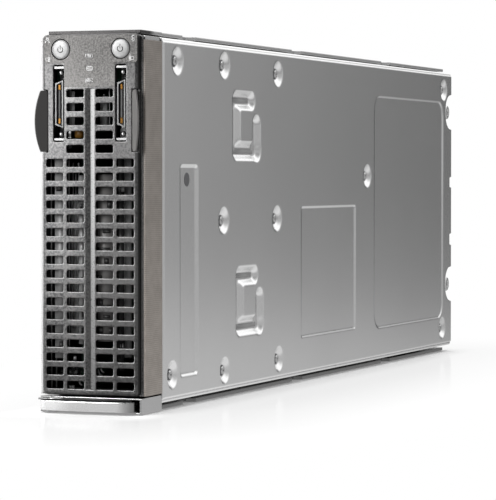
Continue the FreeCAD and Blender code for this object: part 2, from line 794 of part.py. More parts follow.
def make_bezel():
    """Moulded front with grille, centre groove, port slots, button holes and tab slots."""
    face = slab(
        "bezel_face", "XZ_Plane", (f"-{BEZEL_HALF}", BEZEL_HALF), (BEZEL_LOW, BEZEL_HIGH),
        "bezel_face_corner", (FACE, BEZEL_BACK))
    front = value(FACE)

    def front_edge(edge):
        return all(abs(vertex.Y - front) < 1e-6 for vertex in edge.Vertexes)

    face = round_edges("bezel_face_round", face, "bezel_round", front_edge)
    flange = slab(
        "bezel_flange", "XZ_Plane", (f"-{FRAME_HALF}", FRAME_HALF), (BEZEL_LOW, PAN_HIGH),
        "bezel_corner", (STEP, BEZEL_BACK))
    liner_half = f"({FRAME_HALF} - frame_wall - fit_gap)"
    liner_low = f"({FRAME_LOW} + frame_wall + fit_gap)"
    liner = box(
        "bezel_liner_block", (f"-{liner_half}", liner_half), (BEZEL_BACK, f"{BEZEL_BACK} + bezel_liner"),
        (liner_low, LINER_HIGH))
    cavity = box(
        "bezel_cavity", (f"-({liner_half} - bezel_corner)", f"{liner_half} - bezel_corner"),
        (f"{FACE} + bezel_wall", f"{BEZEL_BACK} + bezel_liner + 1"),
        (f"{liner_low} + bezel_corner", f"{LINER_HIGH} - bezel_corner"))
    groove = prism(
        "groove_cutter", "XY_Plane",
        lambda sketch: draw_polygon(sketch, [
            ("-groove_half", FACE), ("groove_half", FACE), ("0", f"{FACE} + groove_depth")]),
        ("groove_low", "groove_high"))
    tools = grille_slots() + [cavity, groove]
    for side, sign in (("b", ""), ("a", "-1 * ")):
        tools.append(slab(
            f"port_slot_{side}", "XZ_Plane",
            (f"{sign}port_x - port_width / 2", f"{sign}port_x + port_width / 2"),
            ("port_low", "port_low + port_height"), "port_corner", (f"{FACE} - 1", f"{BEZEL_BACK} + 1")))
        tools.append(rod(
            f"button_hole_{side}", "y", (f"{sign}button_x + button_shift", f"{FACE} - 1", "button_z"),
            "button_length + button_travel + 2", "button_radius + button_clearance"))
    for side, low, high in (
            ("b", f"{TAB_X} - tab_clearance", f"{FRAME_HALF} + 1"),
            ("a", f"-({FRAME_HALF} + 1)", f"-({TAB_X} - tab_clearance)")):
        tools.append(box(
            f"wing_recess_{side}", (low, high), (f"{FACE} - 1", f"{FACE} + wing_recess"),
            ("tab_low + tab_height / 2 - wing_height / 2 - tab_clearance",
             "tab_low + tab_height / 2 + wing_height / 2 + tab_clearance")))
    for side, low, high in (
            ("b", f"{TAB_X} - tab_clearance", f"{TAB_X} + tab_thickness + tab_clearance"),
            ("a", f"-({TAB_X} + tab_thickness + tab_clearance)", f"-({TAB_X} - tab_clearance)")):
        tools.append(box(
            f"tab_slot_{side}", (low, high), (f"{FACE} - 1", f"{BEZEL_BACK} + bezel_liner + 1"),
            ("tab_low - tab_clearance", "tab_low + tab_height + tab_clearance")))
    for i in range(3):
        tools.append(rod(
            f"indicator_hole_{i}", "y", ("0", f"{FACE} - 1", f"indicator_low + {i} * indicator_pitch"),
            "bezel_wall + 2", "indicator_radius + 0.05"))
    return cut("front_bezel", fuse("bezel_block", [face, flange, liner]), tools)


def make_control_plate():
    """T shaped plate around the power buttons and the indicators."""
    high = f"({BEZEL_HIGH} - control_margin)"
    depth = (f"{FACE} - control_thickness", FACE)
    bar = slab(
        "control_bar", "XZ_Plane",
        (f"control_left_inset - {BEZEL_HALF}", f"{BEZEL_HALF} - control_right_inset"),
        ("control_low", high), "control_corner", depth)
    stem = box(
        "control_stem", ("-control_stem_half", "control_stem_half"), depth,
        ("control_stem_low", "control_low + control_corner"))
    tools = [
        rod(f"control_hole_{side}", "y", (f"{sign}button_x + button_shift", f"{FACE} - 1", "button_z"), "2",
            "button_radius + button_clearance")
        for side, sign in (("b", ""), ("a", "-1 * "))
    ]
    for i in range(3):
        tools.append(rod(
            f"control_window_{i}", "y", ("0", f"{FACE} - 1", f"indicator_low + {i} * indicator_pitch"),
            "2", "indicator_radius + 0.05"))
    return cut("control_plate", fuse("control_blank", [bar, stem]), tools)


CONTROL_BOARD = f"({FACE} + control_board_setback)"
BUTTON_FRONT = f"({FACE} - control_thickness - button_proud)"
STEM_END = f"({CONTROL_BOARD} - switch_size / 2 - switch_clearance - button_travel)"


def make_button(side, x):
    """Power button: a disc with a stem that reaches its switch."""
    disc = rod(f"button_disc_{side}", "y", (x, BUTTON_FRONT, "button_z"), "button_length", "button_radius")
    stem = rod(
        f"button_stem_{side}", "y", (x, BUTTON_FRONT, "button_z"),
        f"{STEM_END} - {BUTTON_FRONT}", "button_stem")
    return fuse(f"power_button_{side}", [disc, stem])


def make_control_electronics():
    """Control board, its two switches and the light pipes of the indicators."""
    board = box(
        "control_board", ("-control_board_half", "control_board_half"),
        (CONTROL_BOARD, f"{CONTROL_BOARD} + board_thickness"),
        ("control_stem_low", f"{LINER_HIGH} - bezel_corner - fit_gap"))
    switches = []
    for side, sign in (("b", ""), ("a", "-1 * ")):
        switches.append(box(
            f"switch_{side}",
            (f"{sign}button_x + button_shift - switch_size / 2",
             f"{sign}button_x + button_shift + switch_size / 2"),
            (f"{CONTROL_BOARD} - switch_size / 2", CONTROL_BOARD),
            ("button_z - switch_size / 2", "button_z + switch_size / 2")))
    pipes = [
        rod(f"light_pipe_{i}", "y",
            ("0", f"{FACE} - control_thickness", f"indicator_low + {i} * indicator_pitch"),
            f"{CONTROL_BOARD} - {FACE} + control_thickness", "indicator_radius")
        for i in range(3)
    ]
    return [board, group("power_switches", switches), group("light_pipes", pipes)]


BRACKET = f"({FACE} + bracket_setback)"
PORT_MID = "(port_low + port_height / 2)"


def shell_outline(x, inset):
    """D shaped outline of a connector about x: its -X side is shorter than its +X side."""
    left = f"({x} - shell_width / 2 + {inset})"
    right = f"({x} + shell_width / 2 - {inset})"
    low = f"(shell_low + {inset})"
    high = f"(shell_low + shell_height - {inset})"
    return [(left, f"{low} + shell_slant"), (right, low), (right, high), (left, f"{high} - shell_slant")]


def make_port(side, x):
    """Cable connector: metal shell, plastic insert, contacts and mounting bracket."""
    front = f"({FACE} + shell_setback)"

    def block(name, inset, span):
        return prism(name, "XZ_Plane", lambda sketch: draw_polygon(sketch, shell_outline(x, inset)), span)

    outer = block(f"shell_outer_{side}", "0", (front, BRACKET))
    inner = block(f"shell_inner_{side}", "shell_wall", (f"{front} - 1", f"{BRACKET} + 1"))
    shell = cut(f"port_shell_{side}", outer, [inner])
    core = block(f"insert_core_{side}", "(shell_wall + insert_gap)", (f"{front} + insert_setback", BRACKET))
    middle = "(shell_low + shell_height / 2)"
    tongue = box(
        f"insert_tongue_{side}", (f"{x} - tongue_width / 2", f"{x} + tongue_width / 2"),
        (f"{front} + insert_setback / 4", f"{front} + 2 * insert_setback"),
        (f"{middle} - tongue_length / 2", f"{middle} + tongue_length / 2"))
    insert = fuse(f"port_insert_{side}", [core, tongue])
    contacts = []
    for i in range(int(SIZES["contact_rows"])):
        z = f"({middle} + ({i} - (contact_rows - 1) / 2) * contact_pitch)"
        for label, near, far in (
                ("left", f"{x} - tongue_width / 2 - contact_thickness", f"{x} - tongue_width / 2"),
                ("right", f"{x} + tongue_width / 2", f"{x} + tongue_width / 2 + contact_thickness")):
            contacts.append(box(
                f"contact_{label}_{side}_{i}", (near, far),
                (f"{front} + insert_setback / 2", f"{front} + insert_setback"),
                (f"{z} - contact_width / 2", f"{z} + contact_width / 2")))
    for label, turn in (("upper", "+"), ("lower", "-")):
        z = f"({middle} {turn} blade_offset)"
        contacts.append(box(
            f"blade_{label}_{side}", (f"{x} - blade_width / 2", f"{x} + blade_width / 2"),
            (f"{front} + insert_setback / 4", f"{front} + insert_setback"),
            (f"{z} - blade_height / 2", f"{z} + blade_height / 2")))
    span = (f"{x} - port_width / 2 + lip_side_gap", f"{x} + port_width / 2 - lip_side_gap")
    plate = box(
        f"bracket_plate_{side}", (f"{x} - port_width / 2", f"{x} + port_width / 2"),
        (BRACKET, f"{BRACKET} + bracket_thickness"), ("port_low - 3", "port_low + port_height"))
    lips = [
        box(f"bracket_lip_{label}_{side}", span, (f"{FACE} + lip_setback", BRACKET), (z, f"{z} + lip_height"))
        for label, z in (
            ("lower", "port_low + lip_margin"),
            ("upper", "port_low + port_height - lip_margin - lip_height"))
    ]
    bracket = fuse(f"port_bracket_{side}", [plate] + lips)
    return [shell, insert, group(f"port_contacts_{side}", contacts), bracket]


def make_jack_screws():
    """Four hexagon standoffs that take the screws of a cable plug."""
    screws = []
    for side, sign in (("b", ""), ("a", "-1 * ")):
        for label, turn in (("upper", "+"), ("lower", "-")):
            middle = f"{PORT_MID} {turn} jack_offset"
            name = f"jack_{label}_{side}"

            def hexagon(sketch, x=f"{sign}port_x", z=middle):
                corners = [(1, 0), (0.5, 0.866), (-0.5, 0.866), (-1, 0), (-0.5, -0.866), (0.5, -0.866)]
                draw_polygon(sketch, [
                    (f"{x} + {across} * jack_radius", f"{z} + {rise} * jack_radius")
                    for across, rise in corners])

            body = prism(f"{name}_hexagon", "XZ_Plane", hexagon, (f"{FACE} + jack_setback", BRACKET))
            bore = rod(
                f"{name}_bore", "y", (f"{sign}port_x", FACE, middle), "bracket_setback * 0.6", "jack_bore")
            screws.append(cut(name, body, [bore]))
    return group("jack_screws", screws)


def make_tab():
    """Label tab of half b: a sliding strip that ends in a flared half moon wing."""
    middle = "(tab_low + tab_height / 2)"
    strip = box(
        "tab_strip", (TAB_X, f"{TAB_X} + tab_thickness"), (FACE, f"{FACE} + tab_length"),
        ("tab_low", "tab_low + tab_height"))
    radius = "((wing_height ^ 2 / 4 + wing_bulge ^ 2) / (2 * wing_bulge))"
    disc = rod("wing_disc", "y", (f"wing_width - {radius}", "0", "0"), "wing_thickness", radius)
    half = box(
        "wing_half", ("0", "wing_width"), ("0", "wing_thickness"), ("-wing_height / 2", "wing_height / 2"))
    wing = common("wing", disc, half)
    wing.Placement = FreeCAD.Placement(
        FreeCAD.Vector(), FreeCAD.Rotation(FreeCAD.Vector(0, 0, 1), -value("wing_angle")))
    place(wing, (f"{TAB_X} + tab_thickness * 0.1", FACE, middle))
    return fuse("label_tab_b", [strip, wing])


PIVOT_Y = f"({FRONT} + pivot_setback)"
HOUSING_FRONT = f"({FACE} - housing_lip)"
HOUSING_CAVITY = f"({PAN_FRONT} - housing_back)"
LEVER_LOW = "(housing_floor + lever_gap)"
LEVER_HIGH = "(housing_height - housing_roof - lever_head_gap)"
LEVER_HEIGHT = f"({LEVER_HIGH} - {LEVER_LOW})"


def make_housing():
    """Plated housing under the bezel with a slot for the lever, open to the front."""
    block = box(
        "housing_block", (f"-{HOUSING_HALF}", HOUSING_HALF), (HOUSING_FRONT, PAN_FRONT),
        ("0", "housing_height"))
    front = value(HOUSING_FRONT)

    def left_front(edge):
        corner = edge.Vertexes[0]
        return along_axis(edge, 2) and corner.X < 0 and abs(corner.Y - front) < 1e-6

    block = round_edges("housing_rounded", block, "housing_corner", left_front)
    slot = box(
        "housing_slot", (f"-{HOUSING_HALF} + housing_wall", f"{HOUSING_HALF} - housing_wall"),
        (FRONT, HOUSING_CAVITY), ("housing_floor", "housing_height - housing_roof"))
    open_floor = box(
        "housing_open_floor", (f"-{HOUSING_HALF} - 1", LEVER_RIGHT),
        (FRONT, f"{HOUSING_FRONT} + housing_floor_setback"), ("-1", "housing_floor"))
    open_side = box(
        "housing_open_side", (f"-{HOUSING_HALF} - 1", f"-{HOUSING_HALF} + housing_wall"),
        (FRONT, f"{HOUSING_FRONT} + housing_floor_setback"), ("-1", "housing_height - housing_roof"))
    hole = rod(
        "housing_pin_hole", "z", (PIVOT_X, PIVOT_Y, "-1"), "housing_height + 2", "pin_radius + 0.02")
    latch_room = box(
        "latch_room",
        (f"{HOUSING_HALF} - housing_wall - latch_width - 2 * latch_gap", f"{HOUSING_HALF} - housing_wall"),
        (f"{HOUSING_CAVITY} - 1", f"{HOUSING_CAVITY} + latch_length"),
        ("housing_height / 2 - latch_height / 2 - latch_gap",
         "housing_height / 2 + latch_height / 2 + latch_gap"))
    bosses = [
        rod(f"housing_boss_{label}", "z", (PIVOT_X, PIVOT_Y, z), height, "housing_boss")
        for label, z, height in (
            ("lower", "0", "housing_floor"),
            ("upper", "housing_height - housing_roof", "housing_roof"))
    ]
    channel = cut("housing_channel", block, [slot, open_floor, open_side, latch_room])
    return cut("lever_housing", fuse("housing_with_bosses", [channel] + bosses), [hole])


def make_lever():
    """Bowed release lever with a round hub about its pivot."""
    bow = rod("lever_bow_disc", "z", ("0", f"{FRONT} + lever_bow", LEVER_LOW), LEVER_HEIGHT, "lever_bow")
    plate = box(
        "lever_plate", (PIVOT_X, LEVER_RIGHT), (FRONT, f"{FRONT} + lever_depth"), (LEVER_LOW, LEVER_HIGH))
    right = value(LEVER_RIGHT)

    def right_corner(edge):
        return along_axis(edge, 2) and abs(edge.Vertexes[0].X - right) < 1e-6

    plate = round_edges("lever_plate_round", plate, "lever_corner", right_corner)
    blade = common("lever_blade", bow, plate)
    hub = rod("lever_hub", "z", (PIVOT_X, PIVOT_Y, LEVER_LOW), LEVER_HEIGHT, "hub_radius")
    bore = rod(
        "lever_bore", "z", (PIVOT_X, PIVOT_Y, "0"), "housing_height", "pin_radius + pin_clearance")
    pin = rod("lever_pivot_pin", "z", (PIVOT_X, PIVOT_Y, "0.2"), "housing_height - 0.4", "pin_radius")
    return [cut("release_lever", fuse("lever_blank", [blade, hub]), [bore]), pin]


def make_latch():
    """Release button in the finger recess beside the lever's free end."""
    middle = f"({HOUSING_HALF} - housing_wall - latch_gap - latch_width / 2)"
    return box(
        "release_button", (f"{middle} - latch_width / 2", f"{middle} + latch_width / 2"),
        (f"{HOUSING_CAVITY} - latch_proud", f"{HOUSING_CAVITY} - latch_proud + latch_length"),
        ("housing_height / 2 - latch_height / 2", "housing_height / 2 + latch_height / 2"))


def make_pan_fasteners():
    """Standoffs under the dimples of half b and the screws that hold them."""
    standoffs = []
    screws = []
    seat = f"({DIMPLE_SEAT} - sheet)"
    for name in DIMPLES:
        y, z = dimple_at(name)
        post = rod(f"post_{name}", "x", (STANDOFF_END, y, z), "standoff_height", "standoff_radius")
        bore = rod(
            f"post_bore_{name}", "x", (f"{STANDOFF_END} - 1", y, z), "standoff_height + 2", "standoff_bore")
        standoffs.append(cut(f"standoff_{name}", post, [bore]))
        head = cone(
            f"head_{name}", "x", (DIMPLE_SEAT, y, z), "screw_head_height", "screw_head", "screw_head * 0.75")
        drive = rod(
            f"drive_{name}", "x", (f"{DIMPLE_SEAT} + screw_head_height / 2", y, z), "screw_head_height",
            "screw_head * 0.36")
        shank_low = f"({seat} - standoff_height + 0.6)"
        shank = rod(
            f"shank_{name}", "x", (shank_low, y, z), f"{DIMPLE_SEAT} + 0.2 - {shank_low}", "screw_shank")
        screws.append(cut(f"screw_{name}", fuse(f"screw_blank_{name}", [head, shank]), [drive]))
    return [both_sides("standoffs", standoffs), both_sides("pan_screws", screws)]


def make_board():
    """System board of half b with processor, cooler, memory, chipset and graphics card."""
    top = BOARD_TOP
    board = box(
        "system_board_b", (top, STANDOFF_END), (BOARD_FRONT, f"{BOARD_FRONT} + board_length"),
        ("board_low", "board_low + board_height"))
    chip = f"({top} - processor_height)"
    half = "processor_size / 2"
    processor = box(
        "processor_b", (chip, top), (f"processor_y - {half}", f"processor_y + {half}"),
        (f"processor_z - {half}", f"processor_z + {half}"))
    along = ("processor_y - cooler_length / 2", "processor_y + cooler_length / 2")
    up = ("processor_z - cooler_width / 2", "processor_z + cooler_width / 2")
    base = box("cooler_base_plate", (f"{chip} - cooler_base", chip), along, up)
    blades = fins("cooler_fin", (f"{chip} - cooler_height", f"{chip} - cooler_base"), along, up, "fin_pitch")
    cooler = fuse("cpu_heatsink_b", [base] + blades)
    sockets = []
    modules = []
    for i in range(MODULES):
        middle = f"(socket_first_z + {i} * socket_pitch)"
        body = box(
            f"socket_block_{i}", (f"{top} - socket_height", top), ("socket_y", "socket_y + socket_length"),
            (f"{middle} - socket_width / 2", f"{middle} + socket_width / 2"))
        slot = box(
            f"socket_slot_{i}", (f"{top} - socket_height - 1", f"{top} - socket_height + socket_slot_depth"),
            ("socket_y + (socket_length - module_length) / 2 - 0.2",
             "socket_y + (socket_length + module_length) / 2 + 0.2"),
            (f"{middle} - socket_slot / 2", f"{middle} + socket_slot / 2"))
        sockets.append(cut(f"memory_socket_{i}", body, [slot]))
        foot = f"({top} - socket_height + socket_slot_depth)"
        modules.append(box(
            f"memory_module_{i}", (f"{foot} - module_height", foot),
            ("socket_y + (socket_length - module_length) / 2",
             "socket_y + (socket_length + module_length) / 2"),
            (f"{middle} - module_thickness / 2", f"{middle} + module_thickness / 2")))
    side = "chipset_size / 2"
    chipset_y = (f"chipset_y - {side}", f"chipset_y + {side}")
    chipset_z = (f"chipset_z - {side} / 2", f"chipset_z + {side} / 2")
    plate = box("chipset_plate", (f"{top} - cooler_base", top), chipset_y, chipset_z)
    chipset = fuse("chipset_heatsink_b", [plate] + fins(
        "chipset_fin", (f"{top} - chipset_height", f"{top} - cooler_base"), chipset_y, chipset_z,
        "fin_pitch"))
    card_face = f"({top} - card_lift)"
    card_y = ("card_start", "card_start + card_length")
    card_z = ("card_low", "card_low + card_height")
    card = box("graphics_card_b", (f"{card_face} - card_thickness", card_face), card_y, card_z)
    plugs = [
        box(f"mezzanine_{i}", (card_face, top),
            ("card_start + card_length / 2 - mezzanine_length / 2",
             "card_start + card_length / 2 + mezzanine_length / 2"),
            (f"{z} - mezzanine_width / 2", f"{z} + mezzanine_width / 2"))
        for i, z in enumerate((
            "card_low + 2 * mezzanine_width", "card_low + card_height - 2 * mezzanine_width"))
    ]
    card_back = f"({card_face} - card_thickness)"
    inset_y = (f"{card_y[0]} + 6", f"{card_y[1]} - 6")
    inset_z = (f"{card_z[0]} + 6", f"{card_z[1]} - 6")
    sink_base = box("card_sink_base", (f"{card_back} - cooler_base / 2", card_back), inset_y, inset_z)
    sink = fuse("graphics_heatsink_b", [sink_base] + fins(
        "card_fin", (f"{card_back} - card_cooler_height", f"{card_back} - cooler_base / 2"), inset_y, inset_z,
        "fin_pitch"))
    halves = [
        board, processor, cooler, group("memory_sockets_b", sockets), group("memory_modules_b", modules),
        chipset, card, sink,
    ]
    return halves, both_sides("mezzanine_connectors", plugs)


def make_drive(side, low_x, board_x):
    """Small drive on a bracket whose feet stand on the system board."""
    front = f"({BEZEL_BACK} + drive_start)"
    high_x = f"({low_x} + drive_thickness)"
    z_low = "drive_low"
    z_high = "(drive_low + drive_height)"
    body = slab(
        f"drive_{side}", "YZ_Plane", (front, f"{front} + drive_length"), (z_low, z_high), "bezel_corner * 2",
        (low_x, high_x))
    near, far = (board_x, high_x) if side == "a" else (low_x, board_x)
    foot = (f"{front} + drive_length - drive_foot", f"{front} + drive_length")
    lower = box(f"bracket_low_{side}", (near, far), foot, (f"{z_low} - drive_rail", z_low))
    upper = box(f"bracket_high_{side}", (near, far), foot, (z_high, f"{z_high} + drive_rail"))
    back = box(
        f"bracket_back_{side}", (near, far), (foot[1], f"{foot[1]} + drive_rail"),
        (f"{z_low} - drive_rail", f"{z_high} + drive_rail"))
    bracket = fuse(f"drive_bracket_{side}", [lower, upper, back])
    return [body, bracket]


def make_rear():
    """Rear panel with vents, coupler board, its sockets and the two plugs that leave the rear."""
    half = f"({HALF} - sheet - rear_gap)"
    low = f"({PAN_LOW} + sheet + rear_gap)"
    high = f"({PAN_HIGH} - sheet - rear_gap)"
    plate = slab(
        "rear_sheet", "XZ_Plane", (f"-{half}", half), (low, high), "bend_radius", (REAR_BACK, REAR_FACE))
    pieces = [plate]
    for side, x in (("b", (f"{half} - rear_plate", half)), ("a", (f"-{half}", f"-({half} - rear_plate)"))):
        pieces.append(box(
            f"rear_flange_{side}", x, (f"{REAR_BACK} - rear_flange", REAR_BACK),
            ("rear_flange_low", "rear_flange_high")))
    tools = []
    for name in ("signal", "power"):
        tools.append(box(
            f"{name}_window", (f"-({name}_half + 0.4)", f"{name}_half + 0.4"),
            (f"{REAR_BACK} - 1", f"{REAR_FACE} + 1"),
            (f"{name}_low - 0.4", f"{name}_low + {name}_height + 0.4")))
    for i in range(VENT_ROWS):
        for side, x in (("b", "signal_half + 2"), ("a", "-(signal_half + 2 + vent_width)")):
            z = f"(signal_low + {i} * vent_pitch)"
            tools.append(box(
                f"vent_{side}_{i}", (x, f"{x} + vent_width"), (f"{REAR_BACK} - 1", f"{REAR_FACE} + 1"),
                (z, f"{z} + vent_height")))
    screw_y = f"({REAR} - notch_screw_inset)"
    screws = []
    room = "(notch_radius + rear_notch_room)"
    for name in ("upper", "lower"):
        for side, x in (
                ("b", (f"{half} - {room}", f"{half} + 1")),
                ("a", (f"-({half} + 1)", f"{room} - {half}"))):
            z = f"notch_{name}"
            opening = box(
                f"rear_open_{side}_{name}", x, (f"{REAR} - notch_shift - {room}", REAR),
                (f"{z} - {room}", f"{z} + {room}"))
            tab = box(
                f"rear_tab_{side}_{name}", x,
                (f"{REAR} - notch_shift - {room} - 1", f"{screw_y} + rear_tab_end"),
                (f"{z} - rear_tab_half", f"{z} + rear_tab_half"))
            tools.append(cut(f"rear_gap_{side}_{name}", opening, [tab]))
    for side, sign, start in (("b", "", f"{half} - rear_plate - 1"), ("a", "-", f"-({half} + 1)")):
        for name in ("upper", "lower"):
            tools.append(rod(
                f"rear_hole_{side}_{name}", "x", (start, screw_y, f"notch_{name}"),
                "rear_plate + 2", "screw_hole"))
            outer_x = half if side == "b" else f"-({half} + screw_head_height)"
            head = rod(
                f"rear_head_{side}_{name}", "x", (outer_x, screw_y, f"notch_{name}"),
                "screw_head_height", "rear_head")
            inner_x = f"({half} - 5)" if side == "b" else f"-({half} + 0.2)"
            shank = rod(
                f"rear_shank_{side}_{name}", "x", (inner_x, screw_y, f"notch_{name}"), "5.2", "screw_shank")
            screws.append(fuse(f"rear_screw_{side}_{name}", [head, shank]))
    panel = cut("rear_panel", fuse("rear_blank", pieces), tools)
    coupler = box(
        "coupler_board", ("-coupler_half", "coupler_half"), (COUPLER, f"{COUPLER} + board_thickness"),
        ("coupler_low", "coupler_low + coupler_height"))
    behind = f"({COUPLER} + board_thickness)"
    plugs = [
        box(f"{name}_connector", (f"-{name}_half", f"{name}_half"),
            (behind, f"{REAR_FACE} + connector_reach"),
            (f"{name}_low", f"{name}_low + {name}_height"))
        for name in ("signal", "power")
    ]
    middle = "(coupler_low + coupler_height / 2)"
    socket = box(
        "coupler_socket", (f"{BOARD_TOP} - coupler_socket", BOARD_TOP),
        (f"{COUPLER} - 2 * coupler_socket", COUPLER),
        (f"{middle} - coupler_socket_height / 2", f"{middle} + coupler_socket_height / 2"))
    return [panel, group("rear_screws", screws), coupler] + plugs + [both_sides("coupler_sockets", [socket])]


# Assemble every sub-part
parts = []
pan = make_pan()
parts += [pan, mirror("left_pan", pan)]
parts += make_rails()
parts += [make_frame()]
gasket = make_gasket()
parts += [gasket, mirror("emi_gasket_left", gasket)]
parts += [make_bezel(), make_control_plate()]
parts.append(make_button("b", "(button_x + button_shift)"))
parts.append(make_button("a", "(button_shift - button_x)"))
parts += make_control_electronics()
parts += make_port("a", "(-1 * port_x)")
parts += make_port("b", "port_x")
parts += [make_jack_screws()]
tab = make_tab()
parts += [tab, mirror("label_tab_a", tab)]
parts += [make_housing()]
parts += make_lever()
parts += [make_latch()]
parts += make_pan_fasteners()
board, mezzanine_connectors = make_board()
parts += board
parts += [mirror(piece.Label[:-1] + "a", piece) for piece in board]
parts += [mezzanine_connectors]
parts += make_drive("a", "drive_a_x", f"-{BOARD_TOP}")
parts += make_drive("b", "drive_b_x", BOARD_TOP)
parts += make_rear()
doc.recompute()

for item in doc.Objects:
    if "Invalid" in item.State or "Error" in item.State:
        raise RuntimeError(f"{item.Label} failed: {item.State}")
for piece in parts:
    if piece.Shape.isNull() or not piece.Shape.isValid():
        raise RuntimeError(f"{piece.Label} has no valid shape")

os.makedirs("parts", exist_ok=True)
for piece in parts:
    piece.Shape.exportStep(f"parts/{piece.Label}.step")
    bounds = piece.Shape.BoundBox
    print(
        f"{piece.Label:24s} solids {len(piece.Shape.Solids):3d} volume {piece.Shape.Volume:10.1f}"
        f" x {bounds.XMin:7.2f} {bounds.XMax:7.2f} y {bounds.YMin:8.2f} {bounds.YMax:8.2f}"
        f" z {bounds.ZMin:7.2f} {bounds.ZMax:7.2f}")
print(len(parts), "sub-parts")
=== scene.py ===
import json
import math

import bmesh
import bpy
import numpy as np
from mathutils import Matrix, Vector


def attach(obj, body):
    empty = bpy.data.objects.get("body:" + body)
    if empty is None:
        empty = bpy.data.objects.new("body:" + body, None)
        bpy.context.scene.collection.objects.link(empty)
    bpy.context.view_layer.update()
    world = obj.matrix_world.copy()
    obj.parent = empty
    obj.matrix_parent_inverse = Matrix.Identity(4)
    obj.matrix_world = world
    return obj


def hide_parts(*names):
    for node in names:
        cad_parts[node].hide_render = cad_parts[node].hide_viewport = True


# The blade stands upright on a pale studio floor and its grille faces -Y. The frame is in
# metres. Shapes are given in millimetres, places and radii in materials in metres.

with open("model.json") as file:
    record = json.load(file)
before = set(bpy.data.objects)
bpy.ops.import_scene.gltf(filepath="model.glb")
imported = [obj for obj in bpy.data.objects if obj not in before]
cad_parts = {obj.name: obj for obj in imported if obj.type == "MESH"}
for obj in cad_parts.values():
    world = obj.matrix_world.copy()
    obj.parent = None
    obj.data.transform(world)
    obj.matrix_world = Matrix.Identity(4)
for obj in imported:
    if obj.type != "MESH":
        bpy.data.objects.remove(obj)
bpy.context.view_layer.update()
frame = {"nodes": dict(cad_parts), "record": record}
nodes = frame["nodes"]

MM = 0.001

# Viewpoint, in metres and degrees
CAMERA_PLACE = (0.52225, -1.39609, 0.11240)
CAMERA_TURN = 21.051
CAMERA_PITCH = 1.585
CAMERA_LENS = 191.26
SENSOR_WIDTH = 36
CLIP_NEAR = 0.01
CLIP_FAR = 60

# Floor: its paper shade, and its brightness when mirrored near the blade and far away
PAPER = 0.72
NEAR_FLOOR = 0.66
FAR_FLOOR = 0.28
FLOOR_FALL = -1.1
FLOOR_SLANT = 2.2
SLANT_TURN = 0.36
SLANT_LIMITS = (0.7, 1.45)
FLOOR_SIZE = 6.0
FLOOR_DROP = 0.0003
FOOTPRINT = (("X", 0.028), ("Y", 0.254))
FOOT_STRETCH = 0.4
GLOSS_ROUGHNESS = 0.12
# First and last value, and the distances or places between which they change
SHEEN = (0.28, 0.0, 0.0, 0.10)
CONTACT = (0.85, 0.10, 0.0, 0.016)
CONTACT_FADE = (1.0, 0.0, 0.03, 0.15)
LEFT_FLARE = (1.5, 1.0, -0.065, -0.025)

# Room: strength of its glow, and the parts of a direction between which it changes
SIDE_GLOW = (0.045, 0.8)
BACK_GLOW = 1.35
FRONT_GLOW = 0.35
SIDE_TURN = (0.25, 0.50)
CEILING_TURN = (0.10, 0.33)
BACK_TURN = (0.0, 0.6)
LEFT_TURN = (-0.22, -0.06)
FAR_BACK_TURN = (0.6, 0.8)

# Name, place, target, width, height and power of the soft boxes
LIGHTS = [
    ("overhead", (0.0, -0.1, 1.6), (0, 0, 0.1), 1.6, 1.6, 29),
    ("front_left", (-0.66, -1.5, 0.66), (0, -0.25, 0.1), 0.9, 0.8, 18),
    ("left", (-1.15, -0.30, 0.30), (0, -0.30, 0.25), 1.3, 0.56, 7.0),
    ("strip", (-0.112, -0.432, 0.160), (0.0, -0.248, 0.145), 0.03, 0.17, 0.19),
]

# Sizes of the blade
HALF = 27.75
FACE = -247.9
PAN_FRONT = -224.4
REAR = 254.35
PAN_LOW = 3.6
PAN_HIGH = 178.9
SHEET = 0.9
NOTCHES = (153.7, 43.3)
NOTCH_RADIUS = 11.0
NOTCH_SETBACK = 2.2
SLITS = (105.2, 68.3)
SLIT_HEIGHT = 7.0
SLIT_DEPTH = 3.6
BUTTON_X = {"a": -15.0, "b": 16.0}
BUTTON_Z = 172.74
PORT_X = 16.12
PORT_Z = 146.8
JACK_Z = (132.5, 161.7)
JACK_BASE = -241.0
PIVOT = (-20.4, -247.4)
THIN_CHAMFER = 0.12
SIDES = ((1, "x"), (-1, "-x"))

# Textures
NOISE_ROUGHNESS = 0.55
COARSE_SCALE = 12.0
THREAD_SCALE = 330.0
PATCH_SCALE = 160.0
PAPER_SCALE = 40.0


def new_material(name):
    """Empty node material."""
    material = bpy.data.materials.new(name)
    material.use_nodes = True
    tree = material.node_tree
    tree.nodes.clear()
    return material, tree


def add(tree, kind, **settings):
    """Add a node; settings name its properties or its input sockets."""
    node = tree.nodes.new(kind)
    for key, setting in settings.items():
        if hasattr(node, key):
            setattr(node, key, setting)
        else:
            node.inputs[key.replace("_", " ")].default_value = setting
    return node


def object_place(tree):
    """Object coordinates of the shaded point."""
    return add(tree, "ShaderNodeTexCoord").outputs["Object"]


def axes(tree, vector):
    """Sockets X, Y and Z of a vector."""
    node = add(tree, "ShaderNodeSeparateXYZ")
    tree.links.new(vector, node.inputs["Vector"])
    return node.outputs


def noise(tree, coordinates, scale, detail=3.0):
    """Noise texture over object coordinates; scale is in cells per metre."""
    node = add(
        tree, "ShaderNodeTexNoise", Scale=scale, Detail=detail, Roughness=NOISE_ROUGHNESS)
    tree.links.new(coordinates, node.inputs["Vector"])
    return node.outputs["Fac"]


def ramp(tree, factor, start, end, low=0.0, high=1.0, course="SMOOTHSTEP"):
    """Map a factor from the range start to end to the range low to high."""
    node = add(
        tree, "ShaderNodeMapRange", interpolation_type=course,
        From_Min=start, From_Max=end, To_Min=low, To_Max=high)
    tree.links.new(factor, node.inputs["Value"])
    return node.outputs["Result"]


